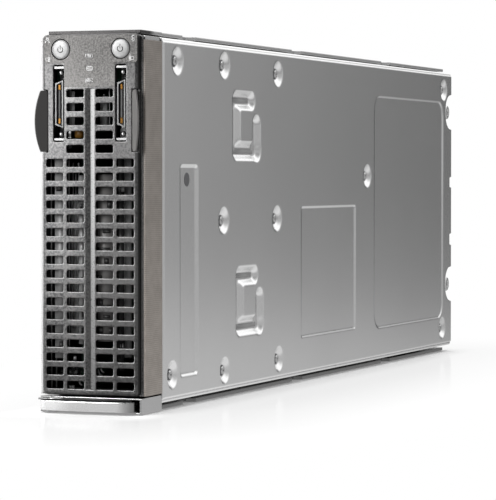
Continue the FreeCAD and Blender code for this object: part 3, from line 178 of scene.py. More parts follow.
def spread(tree, factor, low, high, start=0.3, end=0.7):
    """Map a factor to a range of numbers in a straight line."""
    return ramp(tree, factor, start, end, low, high, "LINEAR")


def shades(tree, factor, dark, light, start=0.3, end=0.7):
    """Colour between two shades by a factor."""
    node = add(tree, "ShaderNodeValToRGB")
    for element, position, shade in zip(node.color_ramp.elements, (start, end), (dark, light)):
        element.position = position
        element.color = (*shade, 1)
    tree.links.new(factor, node.inputs["Fac"])
    return node.outputs["Color"]


def maths(tree, operation, first, second=0.0):
    """Arithmetic on a socket and a socket or number."""
    node = add(tree, "ShaderNodeMath", operation=operation)
    tree.links.new(first, node.inputs[0])
    if isinstance(second, (int, float)):
        node.inputs[1].default_value = second
    else:
        tree.links.new(second, node.inputs[1])
    return node.outputs["Value"]


def mean(tree, first, second):
    """Mean of two sockets."""
    return maths(tree, "MULTIPLY", maths(tree, "ADD", first, second), 0.5)


def distance(tree, first, second):
    """Distance of a socket from a number."""
    return maths(tree, "ABSOLUTE", maths(tree, "SUBTRACT", first, second))


def grey(level):
    """Neutral colour."""
    return (level, level, level)


def painted(name, metallic):
    """Material with one principled shader; also its tree, the shader and object coordinates."""
    material, tree = new_material(name)
    output = add(tree, "ShaderNodeOutputMaterial")
    shader = add(tree, "ShaderNodeBsdfPrincipled", Metallic=metallic)
    tree.links.new(shader.outputs["BSDF"], output.inputs["Surface"])
    return material, tree, shader, object_place(tree)


def relief(tree, shader, height, strength, depth, edge, samples):
    """Soften the edges of a shader's piece and raise a bump on it."""
    soft = add(tree, "ShaderNodeBevel", samples=samples, Radius=edge)
    bump = add(tree, "ShaderNodeBump", Strength=strength, Distance=depth)
    tree.links.new(height, bump.inputs["Height"])
    tree.links.new(soft.outputs["Normal"], bump.inputs["Normal"])
    tree.links.new(bump.outputs["Normal"], shader.inputs["Normal"])


def surface(name, dark, light, metallic, rough, grain, bump, edge, band=(0.3, 0.7)):
    """Finish with mottled colour, varied roughness, fine grain and softened edges."""
    material, tree, shader, coordinates = painted(name, metallic)
    coarse = noise(tree, coordinates, COARSE_SCALE)
    fine = noise(tree, coordinates, grain, detail=2.0)
    colour = shades(tree, mean(tree, coarse, fine), dark, light, *band)
    tree.links.new(colour, shader.inputs["Base Color"])
    tree.links.new(spread(tree, fine, *rough), shader.inputs["Roughness"])
    relief(tree, shader, fine, strength=bump, depth=0.0001, edge=edge, samples=6)
    return material


def weave(name, dark, light):
    """Conductive cloth: crossing threads with a slight sheen."""
    material, tree, shader, coordinates = painted(name, 0.25)
    threads = []
    for direction in ("Y", "Z"):
        wave = add(
            tree, "ShaderNodeTexWave", bands_direction=direction,
            Scale=THREAD_SCALE, Distortion=1.2, Detail=2.0)
        tree.links.new(coordinates, wave.inputs["Vector"])
        threads.append(wave.outputs["Fac"])
    cloth = mean(tree, *threads)
    patchy = mean(tree, cloth, noise(tree, coordinates, PATCH_SCALE))
    colour = shades(tree, patchy, dark, light, 0.25, 0.75)
    tree.links.new(colour, shader.inputs["Base Color"])
    tree.links.new(spread(tree, patchy, 0.5, 0.75), shader.inputs["Roughness"])
    relief(tree, shader, cloth, strength=0.35, depth=0.0002, edge=0.0004, samples=4)
    return material


def base_colour(material):
    """Base colour input of a material and the socket that feeds it."""
    nodes_here = material.node_tree.nodes
    shader = next(node for node in nodes_here if node.type == "BSDF_PRINCIPLED")
    socket = shader.inputs["Base Color"]
    return socket, socket.links[0].from_socket


def repaint(material, factor, colour, under=False):
    """Mix another colour over the base colour by a factor, or put it under the base colour."""
    tree = material.node_tree
    socket, usual = base_colour(material)
    other, kept = ("Color1", "Color2") if under else ("Color2", "Color1")
    mix = add(tree, "ShaderNodeMixRGB", **{other: (*colour, 1)})
    tree.links.new(factor, mix.inputs["Fac"])
    tree.links.new(usual, mix.inputs[kept])
    tree.links.new(mix.outputs["Color"], socket)


def scale_paint(material, factor):
    """Multiply the base colour by a factor."""
    tree = material.node_tree
    socket, usual = base_colour(material)
    scaled = add(tree, "ShaderNodeVectorMath", operation="SCALE")
    tree.links.new(usual, scaled.inputs[0])
    tree.links.new(factor, scaled.inputs["Scale"])
    tree.links.new(scaled.outputs["Vector"], socket)


def true_normal(tree):
    """Normal of the flat face."""
    return add(tree, "ShaderNodeNewGeometry").outputs["True Normal"]


def shaded_faces(material, facing, start, end, colour, bound=None):
    """Give faces that look along an axis another base colour, also limited by a place on X."""
    tree = material.node_tree
    factor = ramp(tree, axes(tree, true_normal(tree))[facing], start, end)
    if bound is not None:
        place = axes(tree, object_place(tree))
        factor = maths(tree, "MULTIPLY", factor, ramp(tree, place["X"], *bound))
    repaint(material, factor, colour)


def fade_along(material, axis, start, end, low, high):
    """Multiply the base colour by a smooth ramp along an axis of the object."""
    tree = material.node_tree
    place = axes(tree, object_place(tree))
    scale_paint(material, ramp(tree, place[axis], start, end, low, high))


def shade_corner(material, across, upward, scale):
    """Multiply the base colour towards one corner of the front, given by ramps on X and Z."""
    tree = material.node_tree
    place = axes(tree, object_place(tree))
    corner = maths(
        tree, "MULTIPLY", ramp(tree, place["X"], *across), ramp(tree, place["Z"], *upward))
    change = maths(tree, "MULTIPLY", corner, scale - 1.0)
    scale_paint(material, maths(tree, "ADD", change, 1.0))


def paint_edge_highlights(material, colour):
    """Paint a pale highlight where a front edge rounds over to the left or upwards."""
    tree = material.node_tree
    rounded = next(node for node in tree.nodes if node.type == "BEVEL").outputs["Normal"]
    turn = add(tree, "ShaderNodeVectorMath", operation="SUBTRACT")
    tree.links.new(rounded, turn.inputs[0])
    tree.links.new(true_normal(tree), turn.inputs[1])
    parts = axes(tree, turn.outputs["Vector"])
    upward = maths(tree, "MULTIPLY", parts["Z"], 0.6)
    lift = maths(tree, "SUBTRACT", upward, parts["X"])
    repaint(material, ramp(tree, lift, 0.10, 0.45), colour)


def paint_sheet_reflection(material):
    """Paint the sheet metal paler where its surface turns up or down, a painted reflection."""
    tree = material.node_tree
    turned = axes(tree, add(tree, "ShaderNodeNewGeometry").outputs["Normal"])
    steep = ramp(tree, maths(tree, "ABSOLUTE", turned["Z"]), 0.06, 0.32)
    repaint(material, steep, grey(0.8))


def blacken_rail(material):
    """Blacken the front end of the rails, and paint shade on all but the upper edge of the top
    one.
    """
    tree = material.node_tree
    place = axes(tree, object_place(tree))
    bright = ramp(tree, place["Y"], -0.232, -0.224)
    repaint(material, bright, (0.035, 0.034, 0.034), under=True)
    fade_along(material, "Z", 0.1796, 0.1801, 0.3, 1.0)


def dull_pins(material):
    """Leave the gold on the blades at both ends of a connector and dull all other contacts."""
    tree = material.node_tree
    place = axes(tree, object_place(tree))
    along = distance(tree, place["Z"], PORT_Z * MM)
    across = distance(tree, maths(tree, "ABSOLUTE", place["X"]), PORT_X * MM)
    middle = maths(tree, "LESS_THAN", across, 0.00042)
    blade = maths(tree, "MULTIPLY", middle, maths(tree, "GREATER_THAN", along, 0.0067))
    repaint(material, blade, (0.014, 0.008, 0.004), under=True)


def shade_bezel(material):
    """Painted light and shade on the bezel: highlights on edges that round over to the left or
    upwards, a paler left side, rim, right edge and foot, and painted shade on its sides, right
    half, lower part and left corners.
    """
    fade_along(material, "Z", 0.0, 0.13, 0.75, 1.0)
    fade_along(material, "X", -0.027, 0.027, 1.3, 0.95)
    fade_along(material, "X", -0.022, 0.012, 1.0, 0.64)
    fade_along(material, "X", 0.0232, 0.0250, 1.0, 1.65)
    fade_along(material, "Z", 0.0095, 0.0125, 1.7, 1.0)
    shade_corner(material, (-0.004, -0.020), (0.050, 0.018), 0.62)
    shade_corner(material, (-0.0252, -0.0268), (0.036, 0.060), 4.6)
    shade_corner(material, (-0.012, -0.020), (0.126, 0.142), 0.66)
    paint_edge_highlights(material, grey(0.46))
    shaded_faces(material, "X", -0.7, -0.95, grey(0.018))
    shaded_faces(material, "X", 0.5, 0.9, grey(0.018))


# Narrow band of noise between the two shades, which makes sharp speckles
SPECKLE = (0.42, 0.58)
# Dark and light shade, metallic, roughness, grain in cells per metre, bump and edge radius
FINISHES = {
    "zinc_sheet": (grey(0.515), grey(0.565), 1.0, (0.23, 0.27), 900.0, 0.01, 0.0003),
    "zinc_shaded": (grey(0.24), grey(0.28), 0.0, (0.55, 0.65), 900.0, 0.02, 0.0003),
    "rail_steel": (grey(0.40), grey(0.48), 1.0, (0.28, 0.40), 1200.0, 0.06, 0.0008),
    "bezel_graphite": (
        (0.05, 0.05, 0.051), (0.15, 0.148, 0.147), 0.9, (0.34, 0.46), 1100.0, 0.2, 0.0007,
        SPECKLE),
    "control_graphite": (
        (0.04, 0.039, 0.038), (0.125, 0.122, 0.119), 0.9, (0.38, 0.5), 1100.0, 0.2, 0.0002,
        SPECKLE),
    "button_silver": (grey(0.215), grey(0.265), 0.3, (0.28, 0.38), 1800.0, 0.04, 0.0003),
    # Chrome of the housing and the slot's end: a darker copy of the lever's, painted shade
    "lever_chrome": (grey(0.36), grey(0.41), 1.0, (0.16, 0.24), 700.0, 0.03, 0.0006),
    "plated_fastener": (grey(0.55), grey(0.66), 1.0, (0.2, 0.32), 1500.0, 0.05, 0.0003),
    "black_plastic": (grey(0.010), grey(0.020), 0.0, (0.4, 0.55), 2400.0, 0.1, 0.0003),
    "contact_gold": (
        (0.075, 0.036, 0.008), (0.135, 0.068, 0.017), 1.0, (0.22, 0.34), 2500.0, 0.05, 0.0001),
    "tab_charcoal": (
        (0.026, 0.025, 0.024), (0.04, 0.038, 0.037), 0.0, (0.34, 0.44), 2600.0, 0.06, 0.0004),
    "light_guide": (
        (0.20, 0.195, 0.19), (0.26, 0.255, 0.25), 0.3, (0.36, 0.5), 2000.0, 0.05, 0.0001),
    "circuit_board": (
        (0.010, 0.030, 0.018), (0.02, 0.06, 0.035), 0.0, (0.3, 0.45), 300.0, 0.2, 0.0002),
    "fin_aluminium": (grey(0.55), grey(0.66), 1.0, (0.3, 0.45), 900.0, 0.06, 0.0002),
    "chip_lid": (grey(0.5), grey(0.6), 1.0, (0.25, 0.35), 900.0, 0.05, 0.0003),
    "white_ink": (grey(0.52), grey(0.60), 0.0, (0.45, 0.6), 2000.0, 0.04, 0.0001),
    "bracket_plate": (grey(0.24), grey(0.30), 0.6, (0.3, 0.42), 1500.0, 0.04, 0.0003),
    "inner_metal": (grey(0.15), grey(0.25), 0.3, (0.4, 0.55), 1500.0, 0.05, 0.0003),
    "inner_grey": (
        (0.085, 0.083, 0.08), (0.115, 0.112, 0.11), 0.1, (0.45, 0.6), 1500.0, 0.06, 0.0003),
    "inner_dark": (grey(0.16), grey(0.22), 0.1, (0.45, 0.6), 1500.0, 0.06, 0.0003),
    "amber_block": (
        (0.11, 0.052, 0.006), (0.17, 0.08, 0.01), 0.0, (0.4, 0.5), 1500.0, 0.05, 0.0002),
    "grey_ink": (grey(0.05), grey(0.07), 0.0, (0.45, 0.6), 2000.0, 0.04, 0.0001),
    "port_shell_plate": (grey(0.09), grey(0.13), 0.8, (0.3, 0.42), 1500.0, 0.06, 0.0003),
    "groove_painted_highlight": (grey(0.25), grey(0.38), 0.9, (0.26, 0.34), 1300.0, 0.08, 0.0002),
    "lever_painted_sheen": (grey(0.66), grey(0.72), 1.0, (0.16, 0.24), 700.0, 0.03, 0.0004),
    "screw_steel": (grey(0.40), grey(0.48), 1.0, (0.25, 0.34), 1500.0, 0.05, 0.0003),
    "jack_metal": (grey(0.30), grey(0.38), 1.0, (0.22, 0.3), 1500.0, 0.05, 0.0003),
    "dark_plug_and_shadow": (
        (0.05, 0.05, 0.054), (0.075, 0.075, 0.08), 0.0, (0.4, 0.55), 1500.0, 0.1, 0.0003),
}


def make_finishes():
    """All materials of the blade by name."""
    finish = {name: surface(name, *row) for name, row in FINISHES.items()}
    paint_sheet_reflection(finish["zinc_sheet"])
    blacken_rail(finish["rail_steel"])
    shade_bezel(finish["bezel_graphite"])
    dull_pins(finish["contact_gold"])
    # Painted highlight on the front edge of the right tab, on its faces that look to the front
    shaded_faces(
        finish["tab_charcoal"], "Y", -0.5, -0.9, (0.20, 0.195, 0.19), (0.020, 0.0205))
    cloth = weave("gasket_fabric", (0.13, 0.114, 0.10), (0.25, 0.228, 0.207))
    # The gasket is brighter towards the bottom, and gets a painted highlight on the faces at its
    # left edge that look to the front
    fade_along(cloth, "Z", 0.0, 0.12, 1.4, 1.1)
    shaded_faces(cloth, "Y", -0.5, -0.9, grey(0.55), (-0.0255, -0.0265))
    finish["gasket_fabric"] = cloth
    # Painted shade on the groove's slope towards the bottom
    fade_along(finish["groove_painted_highlight"], "Z", 0.0, 0.12, 0.55, 1.0)
    # The lever's chrome gets a painted highlight towards its left end, and painted shade towards
    # its right end and on its top faces
    shine = finish["lever_painted_sheen"]
    fade_along(shine, "X", -0.018, -0.006, 1.35, 1.0)
    fade_along(shine, "X", 0.015, 0.024, 1.0, 0.3)
    shaded_faces(shine, "Z", 0.6, 0.9, grey(0.08))
    return finish


finish = make_finishes()
for entry in frame["record"]["subparts"]:
    mesh = nodes[entry["node"]].data
    mesh.materials.clear()
    mesh.materials.append(finish[entry["material_slot"]])
for side in ("a", "b"):
    nodes[f"port_bracket_{side}"].data.materials[0] = finish["bracket_plate"]
    nodes[f"port_shell_{side}"].data.materials[0] = finish["port_shell_plate"]


def piece(name, shape, material, body="chassis", smooth=True):
    """Mesh object from points in millimetres and faces; it rides on a body."""
    points, faces = shape
    mesh = bpy.data.meshes.new(name)
    mesh.from_pydata([tuple(c * MM for c in point) for point in points], [], faces)
    mesh.validate()
    mesh.update()
    if smooth:
        mesh.shade_smooth()
    mesh.materials.append(finish[material])
    thing = bpy.data.objects.new(name, mesh)
    bpy.context.scene.collection.objects.link(thing)
    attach(thing, body)
    return thing


def merged(shapes):
    """One point and face list from several."""
    points, faces = [], []
    for more_points, more_faces in shapes:
        base = len(points)
        points += more_points
        faces += [tuple(index + base for index in face) for face in more_faces]
    return points, faces


def ease(t):
    """Smooth step from 0 to 1."""
    t = np.clip(t, 0.0, 1.0)
    return t * t * (3 - 2 * t)


def wall(t):
    """Straight wall with rounded rim and foot, from 0 to 1."""
    t = np.clip(t, 0.0, 1.0)
    w = 0.3
    rim = t * t / (2 * w)
    foot = 1 - w - (1 - t) ** 2 / (2 * w)
    return np.where(t < w, rim, np.where(t > 1 - w, foot, t - w / 2)) / (1 - w)


def inside_box(y, z, low_y, high_y, low_z, high_z, corner):
    """Distance inside the edge of a rectangle with round corners, negative outside."""
    across = np.abs(y - (low_y + high_y) / 2) - (high_y - low_y) / 2 + corner
    rise = np.abs(z - (low_z + high_z) / 2) - (high_z - low_z) / 2 + corner
    outside = np.hypot(np.maximum(across, 0), np.maximum(rise, 0))
    return corner - outside - np.minimum(np.maximum(across, rise), 0)


def joined(first, second, blend):
    """Union of two inside distances with a smooth seam."""
    h = np.clip(0.5 + 0.5 * (first - second) / blend, 0, 1)
    return second + (first - second) * h + blend * h * (1 - h)


# Dimples of a pan as distances behind its front edge and heights
DIMPLES = [
    (18.2, 168.3), (80.2, 168.6), (157.7, 167.0), (79.1, 90.1), (156.3, 90.0), (11.9, 16.6),
    (80.8, 14.0), (159.5, 14.8), (307.8, 112.7), (461.8, 167.6), (459.4, 15.5),
]
DIMPLE_RIM = 7.4
DIMPLE_FLOOR = 2.7
DIMPLE_DEPTH = 2.0
# Front end and foot of the two C shaped hooks
HOOKS = [(91.6, 120.0), (96.0, 29.6)]
HOOK_DEPTH = 2.4
HOOK_RUN = 3.9
HOOK_BLEND = 2.2
# Start, end, low, high and corner of the four strokes of a hook, from its front end and foot
HOOK_STROKES = [
    (0.0, 32.0, 26.0, 37.0, 5.2), (0.0, 11.0, 2.0, 35.0, 5.2),
    (0.0, 40.0, 0.0, 11.0, 5.2), (28.0, 40.0, 0.0, 25.0, 5.6),
]
STRIP_DEPTH = 0.9
STRIP_HOLE = (31.9, 110.9)
# Start, length, low, height, corner, depth and run of the flat recesses, the strip first
RECESSES = [
    (21.4, 23.0, 14.4, 104.0, 2.5, STRIP_DEPTH, 1.7),
    (194.4, 92.0, 24.0, 72.0, 1.5, 0.5, 1.0),
    (321.0, 139.5, 22.0, 138.2, 10.0, 0.5, 1.0),
]
# Depth and length of the roll at the front edge of a pan
FRONT_ROLL = (0.8, 1.3)
# Sections of the bottom and top hem, from the seam outwards and back
LOW_HEM = [
    (0.15, 3.6), (12.0, 3.6), (24.0, 3.6), (25.6, 3.62), (26.3, 3.75), (26.8, 4.05),
    (27.05, 4.45), (27.12, 4.9), (27.12, 5.35), (27.02, 5.45), (27.3, 5.55), (27.52, 5.8),
    (27.66, 6.1),
]
HIGH_HEM = [
    (27.68, 176.7), (27.56, 177.0), (27.42, 177.25), (27.33, 177.4), (27.27, 177.6),
    (27.2, 177.9), (27.08, 178.25), (26.85, 178.6), (26.4, 178.83), (25.6, 178.9),
    (24.0, 178.9), (12.0, 178.9), (0.15, 178.9),
]
HEM_START = 26.9
HEM_HEIGHTS = (2.9, 2.6)


def pan_depth(along, z):
    """How far the side of a pan is pressed in, by distance behind its front and height."""
    depth = np.zeros_like(along)
    for start, length, low, height, corner, deep, run in RECESSES:
        inner = inside_box(along, z, start, start + length, low, low + height, corner)
        depth = np.maximum(depth, deep * ease(inner / run))
    for y, height in DIMPLES:
        far = np.hypot(along - y, z - height)
        bowl = ease((DIMPLE_RIM - far) / (DIMPLE_RIM - DIMPLE_FLOOR))
        depth = np.maximum(depth, DIMPLE_DEPTH * bowl)
    for start, foot in HOOKS:
        upper, front, lower, back = [
            inside_box(along, z, start + near, start + far, foot + low, foot + high, corner)
            for near, far, low, high, corner in HOOK_STROKES
        ]
        top, bottom = joined(upper, front, HOOK_BLEND), joined(lower, back, HOOK_BLEND)
        hook = joined(top, bottom, HOOK_BLEND)
        depth = np.maximum(depth, HOOK_DEPTH * wall(hook / HOOK_RUN))
    return depth + FRONT_ROLL[0] * np.clip(1 - along / FRONT_ROLL[1], 0, 1) ** 2


def pan_end(z):
    """Rear edge of a pan at a height, with its two round notches and two slits."""
    end = REAR
    for middle in NOTCHES:
        rise = abs(z - middle)
        if rise < NOTCH_RADIUS:
            end = min(end, REAR - NOTCH_SETBACK - math.sqrt(NOTCH_RADIUS ** 2 - rise * rise))
    for low in SLITS:
        if low <= z <= low + SLIT_HEIGHT:
            end = min(end, REAR - SLIT_DEPTH)
    return end


def grid_lines(low, high, coarse, fine, zones):
    """Positions between two ends: fine inside the zones, coarse elsewhere."""
    lines = [low]
    while lines[-1] < high - 1e-6:
        here = lines[-1]
        near = any(a - 1e-6 <= here < b for a, b in zones)
        ahead = [a for a, b in zones if a > here + 1e-6]
        following = here + (fine if near else coarse)
        if not near and ahead:
            following = min(following, min(ahead))
        lines.append(min(following, high))
    return lines


def pan_grid():
    """Grid lines of a pan's side: distances behind its front edge, and heights."""
    # Fine at the front roll, at the notched rear edge, and around every pressed shape
    along_zones = [(0, 3), (457, 479)]
    height_zones = [(31, 56), (67, 77), (104, 114), (141, 166)]
    for y, z in DIMPLES:
        along_zones.append((y - 8, y + 8))
        height_zones.append((z - 8, z + 8))
    for start, low in HOOKS:
        along_zones.append((start - 1, start + 41))
        height_zones.append((low - 1, low + 38))
    for start, length, low, height, corner, *_ in RECESSES:
        edge = corner + 3
        for zones, near, far in (
                (along_zones, start, start + length), (height_zones, low, low + height)):
            zones += [(near - 1, near + edge), (far - edge, far + 1)]
    along = grid_lines(0.0, REAR - PAN_FRONT, coarse=6.0, fine=0.8, zones=along_zones)
    low, high = PAN_LOW + HEM_HEIGHTS[0], PAN_HIGH - HEM_HEIGHTS[1]
    heights = grid_lines(low, high, coarse=5.0, fine=0.55, zones=height_zones)
    return along, heights


def make_pan(name, side):
    """Formed side pan with soft embosses, hemmed edges and a notched rear edge."""
    along, heights = pan_grid()
    profile = LOW_HEM + [(HALF, z) for z in heights] + HIGH_HEM
    y = np.array(along)
    points = []
    for x, z in profile:
        reach = min(max((x - HEM_START) / (HALF - HEM_START), 0.0), 1.0)
        deep = pan_depth(y, np.full_like(y, z)) * reach
        end = pan_end(z) if reach > 0.5 else REAR
        for behind, inward in zip(along, deep):
            points.append((side * (x - float(inward)), min(PAN_FRONT + behind, end), z))
    columns = len(along)
    faces = []
    for row in range(len(profile) - 1):
        for column in range(columns - 1):
            a = row * columns + column
            d = a + columns
            length = max(points[a + 1][1] - points[a][1], points[d + 1][1] - points[d][1])
            if length > 1e-6:
                face = (a, a + 1, d + 1, d)
                faces.append(face if side > 0 else face[::-1])
    pan = piece(name, (points, faces), "zinc_sheet")
    work = bmesh.new()
    work.from_mesh(pan.data)
    bmesh.ops.remove_doubles(work, verts=work.verts, dist=1e-6)
    loose = [vert for vert in work.verts if not vert.link_faces]
    bmesh.ops.delete(work, geom=loose, context="VERTS")
    work.to_mesh(pan.data)
    work.free()
    pan.data.shade_smooth()
    thick = pan.modifiers.new("sheet", "SOLIDIFY")
    thick.thickness = SHEET * MM
    thick.offset = -1
    return pan


def bands(rings, segments):
    """Faces between rings of points that follow one another."""
    faces = []
    for ring in range(rings - 1):
        for i in range(segments):
            a, b = ring * segments + i, ring * segments + (i + 1) % segments
            faces.append((a, b, b + segments, a + segments))
    return faces


def capped(rings, segments):
    """Faces between rings of points, with a flat cap at both ends."""
    last = (rings - 1) * segments
    caps = [tuple(range(segments))[::-1], tuple(range(last, last + segments))]
    return bands(rings, segments) + caps


def lathe(rings, segments, at, axis, twist=None):
    """Turned shape: rings are (radius, height) from the base up; twist lifts them by angle."""
    points = []
    for radius, height in rings:
        for i in range(segments):
            angle = 2 * math.pi * i / segments
            lift = height + (twist(radius, angle) if twist else 0.0)
            across, rise = radius * math.cos(angle), radius * math.sin(angle)
            if axis == "x":
                points.append((at[0] + lift, at[1] + across, at[2] + rise))
            elif axis == "-x":
                points.append((at[0] - lift, at[1] - across, at[2] + rise))
            else:
                points.append((at[0] + across, at[1] - lift, at[2] + rise))
    top = tuple(range((len(rings) - 1) * segments, len(rings) * segments))
    return points, bands(len(rings), segments) + [top]


def screw_head(at, axis, radius, height, socket):
    """Low pan head with a six lobed socket."""
    def sunk(r, angle):
        edge = socket * (0.86 + 0.14 * math.cos(6 * angle))
        return -0.62 * height if r < edge else 0.0

    rings = [(radius, 0.0), (radius, 0.35 * height)]
    for t in (0.35, 0.7, 1.05, 1.4):
        lift = 0.35 + 0.65 * math.sin(t)
        rings.append((radius * (0.72 + 0.28 * math.cos(t)), height * lift))
    for share in (1.12, 1.0, 0.97, 0.92, 0.86, 0.8, 0.74, 0.69, 0.6, 0.3, 0.02):
        rings.append((socket * share, height))
    return lathe(rings, 48, at, axis, sunk)


def block(low, high, chamfer):
    """Block between two corners with rounded edges."""
    work = bmesh.new()
    bmesh.ops.create_cube(work, size=1.0)
    for vert in work.verts:
        vert.co = Vector([(a + b) / 2 + c * (b - a) for a, b, c in zip(low, high, vert.co)])
    bmesh.ops.bevel(work, geom=list(work.edges), offset=chamfer, segments=2, affect="EDGES")
    work.verts.index_update()
    points = [tuple(vert.co) for vert in work.verts]
    faces = [tuple(vert.index for vert in face.verts) for face in work.faces]
    work.free()
    return points, faces


def blocks(boxes, chamfer):
    """Blocks between pairs of corners."""
    return [block(low, high, chamfer) for low, high in boxes]


def tube(path, radius, segments=12):
    """Round cable along a path of points."""
    # No path here runs along this direction
    helper = Vector((0.13, 0.97, 0.2))
    points = []
    for i, here in enumerate(path):
        before, after = path[max(i - 1, 0)], path[min(i + 1, len(path) - 1)]
        ahead = (Vector(after) - Vector(before)).normalized()
        side = ahead.cross(helper).normalized()
        up = ahead.cross(side)
        for k in range(segments):
            angle = 2 * math.pi * k / segments
            spoke = math.cos(angle) * side + math.sin(angle) * up
            points.append(tuple(Vector(here) + radius * spoke))
    return points, capped(len(path), segments)


def stroke(path, width, y, thick=0.06):
    """Flat printed line on a plane facing -Y, along (x, z) points."""
    shapes = []
    for (x0, z0), (x1, z1) in zip(path, path[1:]):
        length = math.hypot(x1 - x0, z1 - z0)
        ux, uz = (x1 - x0) / length * width / 2, (z1 - z0) / length * width / 2
        corners = [
            (x0 - ux - uz, z0 - uz + ux), (x0 - ux + uz, z0 - uz - ux),
            (x1 + ux + uz, z1 + uz - ux), (x1 + ux - uz, z1 + uz + ux),
        ]
        points = [(x, y - thick, z) for x, z in corners] + [(x, y, z) for x, z in corners]
        faces = [(0, 1, 2, 3), (7, 6, 5, 4)]
        faces += [(i, i + 4, (i + 1) % 4 + 4, (i + 1) % 4) for i in range(4)]
        shapes.append((points, faces))
    return merged(shapes)


def arc(x, z, radius, start, end, steps):
    """Points of an arc about a point between two angles in degrees."""
    angles = [math.radians(start + (end - start) * i / steps) for i in range(steps + 1)]
    return [(x + radius * math.cos(a), z + radius * math.sin(a)) for a in angles]


def make_buttons():
    """Domed power buttons with their standby mark."""
    rings = [(4.62, -1.6), (4.62, -0.1), (4.56, 0.12), (4.4, 0.32), (4.15, 0.47), (3.8, 0.56)]
    edge, shoulder = rings[-1]
    dome = 0.16
    for r in (3.2, 2.6, 2.0, 1.4, 0.8, 0.3, 0.02):
        rings.append((r, shoulder + dome * (1 - (r / edge) ** 2)))
    line, front = 0.34, FACE - 0.69
    for side, x in BUTTON_X.items():
        cap = lathe(rings, 64, (x, FACE, BUTTON_Z), "-y")
        button = piece(f"button_cap_{side}", cap, "button_silver", f"button_{side}")
        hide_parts(f"power_button_{side}")
        mark = merged([
            stroke(arc(x, BUTTON_Z - 0.1, 1.35, 128, 412, 22), line, front),
            stroke([(x, BUTTON_Z + 0.1), (x, BUTTON_Z + 1.9)], line, front),
        ])
        piece(f"button_mark_{side}", mark, "grey_ink", f"button_{side}", smooth=False)


# Letters beside the buttons as paths and line widths
LETTERS = [
    ([(-22.9, 176.2), (-21.9, 178.9), (-20.9, 176.2)], 0.5),
    ([(-22.5, 177.1), (-21.3, 177.1)], 0.45),
    ([(22.0, 176.2), (22.0, 178.8), (23.2, 178.7), (23.5, 178.1), (23.1, 177.5), (22.0, 177.5)],
     0.5),
    ([(23.1, 177.5), (23.6, 176.9), (23.2, 176.2), (22.0, 176.2)], 0.5),
]
CAPITAL_I = [(-0.3, 0.85), (-0.3, -0.85)]
# Function marks between the ports by height, drawn about their middle
MARKS = {
    169.4: [
        [(-1.9, 0.85), (-1.9, -0.4), (-1.6, -0.85), (-1.2, -0.85), (-0.9, -0.4), (-0.9, 0.85)],
        CAPITAL_I,
        [(0.4, 0.85), (0.4, -0.85), (1.0, -0.85), (1.5, -0.4), (1.5, 0.4), (1.0, 0.85),
         (0.4, 0.85)],
    ],
    163.6: [
        [(-1.4, -0.9), (1.4, -0.9), (1.4, 0.9), (-1.4, 0.9), (-1.4, -0.9)],
        [(-0.9, 0.0), (-0.3, 0.0), (0.0, 0.45), (0.3, -0.4), (0.9, -0.4)],
    ],
    157.9: [
        [(-1.9, -0.85), (-1.9, 0.85), (-0.9, -0.85), (-0.9, 0.85)],
        CAPITAL_I,
        [(1.5, 0.6), (1.1, 0.85), (0.7, 0.85), (0.4, 0.45), (0.4, -0.45), (0.7, -0.85),
         (1.1, -0.85), (1.5, -0.6)],
    ],
}
MARKS_X = 0.1
SOCKET_SIGN = [(-1.2, 167.4), (1.2, 167.4), (1.2, 168.8), (-1.2, 168.8), (-1.2, 167.4)]
SOCKET_SIGN_X = 21.6


def make_print():
    """Plain letters and pictograms of the two halves on the control plate."""
    lines = list(LETTERS)
    for z, glyphs in MARKS.items():
        lines += [([(MARKS_X + a, z + b) for a, b in glyph], 0.36) for glyph in glyphs]
    for sign in (-1, 1):
        x = sign * SOCKET_SIGN_X
        bar, dot = x - sign * 0.65, x - sign * 0.6
        lines += [
            ([(x + a, z) for a, z in SOCKET_SIGN], 0.22),
            ([(bar, 167.5), (bar, 168.7)], 1.1),
            ([(dot, 169.7), (dot, 170.0)], 0.35),
        ]
    plate = FACE - 0.22
    shapes = [stroke(path, width, plate, thick=0.1) for path, width in lines]
    piece("control_print", merged(shapes), "white_ink", smooth=False)


def make_screws():
    """Lobed screws in the pan dimples and in the rear notches, with a dark ring round each dimple
    screw as a painted shadow.
    """
    seat, rear_seat, rear_y = 25.78, 26.46, REAR - 8.2
    # Dark ring under each dimple screw's head: the painted shadow of the gap around it
    rim = [(2.75, -0.2), (2.75, 0.2), (2.65, 0.3), (2.3, 0.34), (0.02, 0.34)]
    heads, rear, shadow_rims = [], [], []
    for side, axis in SIDES:
        for y, z in DIMPLES:
            at = (side * seat, PAN_FRONT + y, z)
            heads.append(screw_head(at, axis, radius=2.15, height=1.1, socket=1.2))
            shadow_rims.append(lathe(rim, 40, at, axis))
        for z in NOTCHES:
            at = (side * rear_seat, rear_y, z)
            rear.append(screw_head(at, axis, radius=4.5, height=1.28, socket=2.5))
    for name, shapes, node, metal in (
            ("pan_screw_heads", heads, "pan_screws", "screw_steel"),
            ("rear_screw_heads", rear, "rear_screws", "plated_fastener")):
        detail = piece(name, merged(shapes), metal)
        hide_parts(node)
    piece("pan_screw_shadow_rims", merged(shadow_rims), "dark_plug_and_shadow")


def make_marks():
    """Dark round mark in the strip recess of each pan."""
    rings = [(3.45, -0.3), (3.45, 0.06), (3.3, 0.12), (2.6, 0.10), (1.4, 0.09), (0.02, 0.08)]
    y, z = STRIP_HOLE
    shapes = [
        lathe(rings, 40, (side * (HALF - STRIP_DEPTH), PAN_FRONT + y, z), axis)
        for side, axis in SIDES
    ]
    piece("strip_marks", merged(shapes), "dark_plug_and_shadow")


